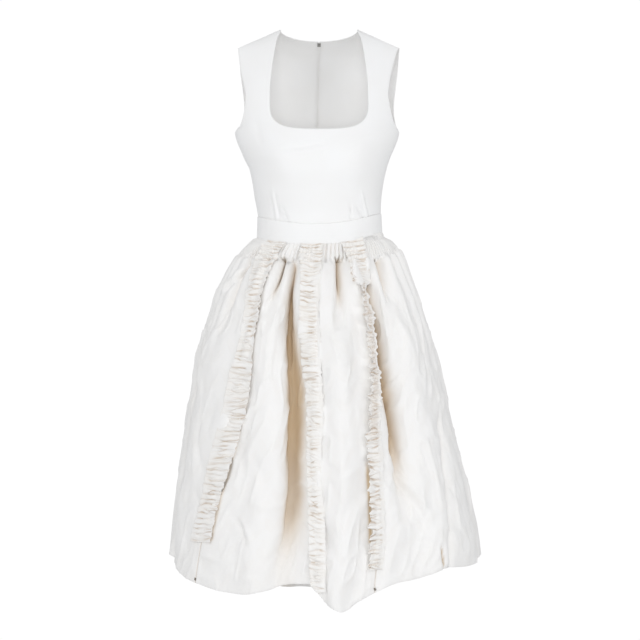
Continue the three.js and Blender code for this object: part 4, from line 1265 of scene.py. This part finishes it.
def make_bodice_back(name, side):
    shoulder_columns, neck_columns, low_rows, up_rows = 26, 36, 50, 62
    columns = shoulder_columns + neck_columns
    seam = side * 180 - side_angle(side)

    def zip_edge(height):
        parted = ease((height + BACK_NECK_DROP + 18) / 9)
        return side * (180 - mix(SEAM_GAP / 2, 0.9, parted) / mm_per_degree(180, height))

    def top_edge(u):
        column = u * columns
        shoulder = shoulder_place(np.minimum(column / shoulder_columns, 1), side, True)
        turn = np.clip((column - shoulder_columns) / neck_columns, 0, 1) * np.pi / 2
        across = NECK_POINT * np.clip(np.cos(turn), 0, 1) ** (2 / BACK_NECK_ROUND)
        height = -BACK_NECK_DROP * np.sin(turn) ** (2 / BACK_NECK_ROUND)
        angle = np.where(column > columns - 0.5, zip_edge(height), angle_at(side * across, height, True))
        return np.where((column <= shoulder_columns)[:, None], shoulder, pair(angle, height))

    def level(u):
        return pair(mix(seam, zip_edge(UNDERARM), u), UNDERARM)

    def waist(u):
        angle = mix(seam, zip_edge(bodice_hem(180)), u)
        return pair(angle, bodice_hem(angle))

    def back_edge(low, high):
        return lambda v: pair(zip_edge(mix(low, high, v)), mix(low, high, v))

    u = np.linspace(0, 1, columns + 1)
    low = fill_grid(waist, level, lambda v: pair(seam, mix(bodice_hem(side * 90), UNDERARM, v)),
                    back_edge(waist(np.array([1.0]))[0, 1], UNDERARM), u, np.linspace(0, 1, low_rows + 1))
    high = fill_grid(level, top_edge, lambda v: armhole_place(v, side, armhole_at["back"], True),
                     back_edge(UNDERARM, -BACK_NECK_DROP), u, crowd_up(up_rows))
    grid = np.concatenate((low, high[1:]))[:, ::-1]
    shoulder = np.zeros(grid.shape[:2], bool)
    shoulder[-1] = np.arange(columns, -1, -1) <= shoulder_columns
    return bodice_shell(name, grid, shoulder, 1)


def make_band(name, start, end, columns):
    angle = np.linspace(start, end, columns + 1)
    v = np.linspace(0, 1, BAND_ROWS + 1)
    low, high = band_edge(BAND_BOTTOM, angle) + SEAM_GAP / 2, band_edge(BAND_TOP, angle) - SEAM_GAP / 2
    height = mix(low[None], high[None], v[:, None])
    angle = np.broadcast_to(angle, height.shape)
    out = level_outward(angle, height)
    waves = sum(wander(angle, height, field) for field in BAND_FIELDS)
    crown = BAND_CROWN * (1 - (2 * v[:, None] - 1) ** 6)
    points = figure_point(angle, height) + out * (BAND_PROUD + crown + waves)[..., None]
    places = np.stack((angle * BAND_ROUND, height), -1)
    return shell(name, points, out, BAND_THICK, BODICE_CLOTH, places)


ZIP_TOP, ZIP_END = -27.6, -598
ZIP_FACE = {"bodice": 3.4, "skirt": 4.1, "between": (-417, 14)}
COIL = {"pitch": 1.4, "thread": 0.26, "across": 0.7, "deep": 0.35, "apart": 0.5, "steps": 8, "sides": 4}
SLIDER = {"height": -22.5, "face": -4.1, "crown": (3.6, 1.1, 5.6), "divider": (1.3, 0.8, 2.6),
          "bevel": 0.45}


def zip_line(height):
    """The middle of the closed zip, on the inner face of its tape, and the way out of the back there."""
    out = level_outward(180, height)
    on_bodice = figure_point(180, height) - outward(180, height) * ZIP_FACE["bodice"]
    top, hem = skirt_height(180, 0), skirt_height(180, 1)
    share = np.clip((top - height) / (top - hem), 0, 1)
    on_skirt = skirt_point(180, share) - out * ZIP_FACE["skirt"]
    return mix(on_bodice, on_skirt, below_level(height, ZIP_FACE["between"])[..., None]), out


def make_coil(name, side):
    """One of the two nylon coils that hook into each other. The other one is half a turn on."""
    turns = (ZIP_TOP - ZIP_END) / COIL["pitch"]
    turn = np.linspace(0, turns * 2 * np.pi, int(turns * COIL["steps"]) + 1)
    middle, out = zip_line(mix(ZIP_TOP, ZIP_END, turn / turn[-1]))
    phase = turn + np.pi * (side > 0)
    across = side * COIL["apart"] + COIL["across"] * np.cos(phase)
    deep = COIL["deep"] * (1 + np.sin(phase))
    line = middle - out * deep[:, None] + np.array((1.0, 0, 0)) * across[:, None]
    return swept(f"zip_coil_{name}", line, COIL["thread"], COIL["sides"], ZIP_NYLON)


def bevel_mesh(work, width):
    """Rounds the sharp edges of a bmesh."""
    bmesh.ops.remove_doubles(work, verts=work.verts, dist=2e-6)
    bmesh.ops.dissolve_limit(work, angle_limit=math.radians(2), verts=work.verts, edges=work.edges)
    sharp = [edge for edge in work.edges if edge.calc_face_angle(0) > math.radians(30)]
    bmesh.ops.bevel(work, geom=sharp, offset=width * MM, segments=2, profile=0.6, affect="EDGES",
                    clamp_overlap=True)


def metal_piece(name, work):
    mesh = bpy.data.meshes.new(name)
    work.to_mesh(mesh)
    work.free()
    mesh.polygons.foreach_set("use_smooth", np.full(len(mesh.polygons), True))
    mesh.set_sharp_from_angle(angle=math.radians(40))
    mesh.materials.clear()
    mesh.materials.append(METAL)
    piece = bpy.data.objects.new(name, mesh)
    bpy.context.scene.collection.objects.link(piece)
    return piece


def round_edges(node, width):
    """The solid of a node with its sharp edges rounded."""
    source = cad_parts[node]
    work = bmesh.new()
    work.from_mesh(source.data)
    work.transform(source.matrix_world)
    bevel_mesh(work, width)
    return metal_piece(node + "_metal", work)


def make_slider_crown():
    """The raised middle of the slider's inner plate, with the divider at its top."""
    height = SLIDER["height"]
    middle = figure_point(180, height)
    out = outward(180, height)
    lean = Matrix.Rotation(math.atan2(out[2], out[1]), 4, "X")
    work = bmesh.new()
    for size, lift in ((SLIDER["crown"], 0), (SLIDER["divider"], SLIDER["crown"][1])):
        place = Matrix.Translation(Vector((0, SLIDER["face"] - lift - size[1] / 2, 0)) * MM)
        shape = Matrix.Diagonal((*(Vector(size) * MM), 1))
        there = Matrix.Translation(Vector(middle) * MM) @ lean @ place @ shape
        bmesh.ops.create_cube(work, size=1, matrix=there)
    bevel_mesh(work, SLIDER["bevel"])
    return metal_piece("zip_slider_crown", work)


# The cut of each cloth as it shows: across and down in metres, and its area where it isn't a rectangle.
SHEETS = table(
    ("node", "slot", "flat", "area", "held"),
    (
        ("bodice_front", "bodice_cloth", (0.44, 0.4), 0.108, "stretched"),
        ("bodice_back_left", "bodice_cloth", (0.23, 0.385), 0.075, "stretched"),
        ("bodice_back_right", "bodice_cloth", (0.23, 0.385), 0.075, "stretched"),
        ("waistband_front", "bodice_cloth", (0.39, 0.04), None, "stretched"),
        ("waistband_back_left", "bodice_cloth", (0.19, 0.04), None, "stretched"),
        ("waistband_back_right", "bodice_cloth", (0.18, 0.04), None, "stretched"),
        ("skirt_front_left", "skirt_cloth", (0.205, 0.72), None, "gathered"),
        ("skirt_front_centre_left", "skirt_cloth", (0.235, 0.72), None, "gathered"),
        ("skirt_front_centre_right", "skirt_cloth", (0.165, 0.72), None, "gathered"),
        ("skirt_front_right", "skirt_cloth", (0.31, 0.72), None, "gathered"),
        ("skirt_back_left", "skirt_cloth", (0.445, 0.72), None, "gathered"),
        ("skirt_back_right", "skirt_cloth", (0.445, 0.72), None, "gathered"),
        ("ruffle_left", "ruffle_cloth", (0.046, 0.87), None, "gathered"),
        ("ruffle_centre", "ruffle_cloth", (0.038, 0.86), None, "gathered"),
        ("ruffle_right", "ruffle_cloth", (0.036, 0.82), None, "gathered"),
    ),
)
ZIP_HALVES = ((-1, "left"), (1, "right"))
TACKS = (("left", -1107), ("right", -1117))
BACK_END = 180 - SEAM_GAP / 2 / mm_per_degree(180, -400)


def make_cloth():
    """Every piece of cloth by the name of the solid that it replaces."""
    cloth = make_skirt()
    for layer, (name, ruffle) in enumerate(RUFFLES.items()):
        cloth["ruffle_" + name] = make_ruffle(ruffle, layer)
    cloth["bodice_front"] = make_bodice_front()
    cloth["bodice_back_left"] = make_bodice_back("bodice_back_left_cloth", -1)
    cloth["bodice_back_right"] = make_bodice_back("bodice_back_right_cloth", 1)
    for name, start, end, columns in (
        ("waistband_front", side_angle(-1), side_angle(1), 150),
        ("waistband_back_left", -BACK_END, -180 - side_angle(-1), 80),
        ("waistband_back_right", 180 - side_angle(1), BACK_END, 80),
    ):
        cloth[name] = make_band(name + "_cloth", start, end, columns)
    return cloth


def dress_in_cloth():
    cloth = make_cloth()
    for sheet in SHEETS:
        node = sheet["node"]
        piece = cloth[node]
        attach(piece, "dress")
        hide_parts(node)


def make_zip():
    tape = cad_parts["zip_chain"]
    tape.data.materials.clear()
    tape.data.materials.append(ZIP_NYLON)
    for side, name in ZIP_HALVES:
        coil = make_coil(name, side)
        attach(coil, "dress")
    for node, bevel, body in (("zip_slider", 0.3, "dress"), ("zip_pull_tab", 0.18, "pull_tab")):
        piece = round_edges(node, bevel)
        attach(piece, body)
        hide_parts(node)
    crown = make_slider_crown()
    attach(crown, "dress")


dress_in_cloth()
for seam, height in TACKS:
    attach(make_bar_tack(seam, height), "dress")
make_zip()


# floor, light and camera
FLOOR_HEIGHT = -1.262
FLOOR_REACH = 4000
SOFT_WHITE = (0.955, 0.972, 1)
SOFT_LIGHT = 0.655
SEEN_LIGHT = 1.02
LIGHTS = table(
    ("name", "place", "size", "power"),
    (
        ("key", (-0.1, -5.0, -0.4), 1.5, 56),
        ("fill_right", (2.4, -2.4, 0.2), 1.6, 15),
        ("fill_left", (-2.6, -2.4, 0.4), 1.6, 14),
    ),
)
AIM = Vector((0, 0, -0.4))


def white_floor():
    finish = Finish("white_floor")
    seen = finish.node("Emission", Color=(1, 1, 1), Strength=SEEN_LIGHT)
    lit = finish.node("Emission", Color=SOFT_WHITE, Strength=SOFT_LIGHT)
    choose = finish.node("MixShader", i0=finish.node("LightPath"), i1=lit, i2=seen)
    finish.node("OutputMaterial", Surface=choose)
    return finish.material


def make_floor():
    turn = np.linspace(0, 2 * np.pi, 65)[:-1]
    height = np.full(len(turn), FLOOR_HEIGHT / MM)
    ring = np.stack((FLOOR_REACH * np.cos(turn), FLOOR_REACH * np.sin(turn), height), -1)
    floor = make_piece("floor", ring, [list(range(len(turn)))], white_floor(), smooth=False)


def make_light(row):
    data = bpy.data.lights.new(row["name"], "AREA")
    data.shape, data.size, data.energy, data.color = "DISK", row["size"], row["power"], SOFT_WHITE
    light = bpy.data.objects.new(row["name"], data)
    light.location = row["place"]
    light.rotation_euler = (AIM - Vector(row["place"])).to_track_quat("-Z", "Y").to_euler()
    bpy.context.scene.collection.objects.link(light)


def make_world():
    world = bpy.data.worlds.new("studio")
    world.use_nodes = True
    tree = world.node_tree
    tree.nodes.clear()
    seen = tree.nodes.new("ShaderNodeBackground")
    seen.inputs[0].default_value, seen.inputs[1].default_value = (1, 1, 1, 1), SEEN_LIGHT
    lit = tree.nodes.new("ShaderNodeBackground")
    lit.inputs[0].default_value, lit.inputs[1].default_value = (*SOFT_WHITE, 1), SOFT_LIGHT
    path = tree.nodes.new("ShaderNodeLightPath")
    choose = tree.nodes.new("ShaderNodeMixShader")
    end = tree.nodes.new("ShaderNodeOutputWorld")
    tree.links.new(path.outputs["Is Camera Ray"], choose.inputs[0])
    tree.links.new(lit.outputs[0], choose.inputs[1])
    tree.links.new(seen.outputs[0], choose.inputs[2])
    tree.links.new(choose.outputs[0], end.inputs[0])
    bpy.context.scene.world = world


def make_camera():
    data = bpy.data.cameras.new("camera")
    data.lens, data.sensor_width = 123.5, 36
    camera = bpy.data.objects.new("camera", data)
    camera.location = (0.002, -4.5, -0.595)
    camera.rotation_euler = (math.pi / 2, 0, 0)
    bpy.context.scene.collection.objects.link(camera)
    bpy.context.scene.camera = camera


make_floor()
make_world()
for row in LIGHTS:
    make_light(row)
make_camera()
view = bpy.context.scene.view_settings
view.view_transform, view.look, view.exposure, view.gamma = "Standard", "None", 0, 1
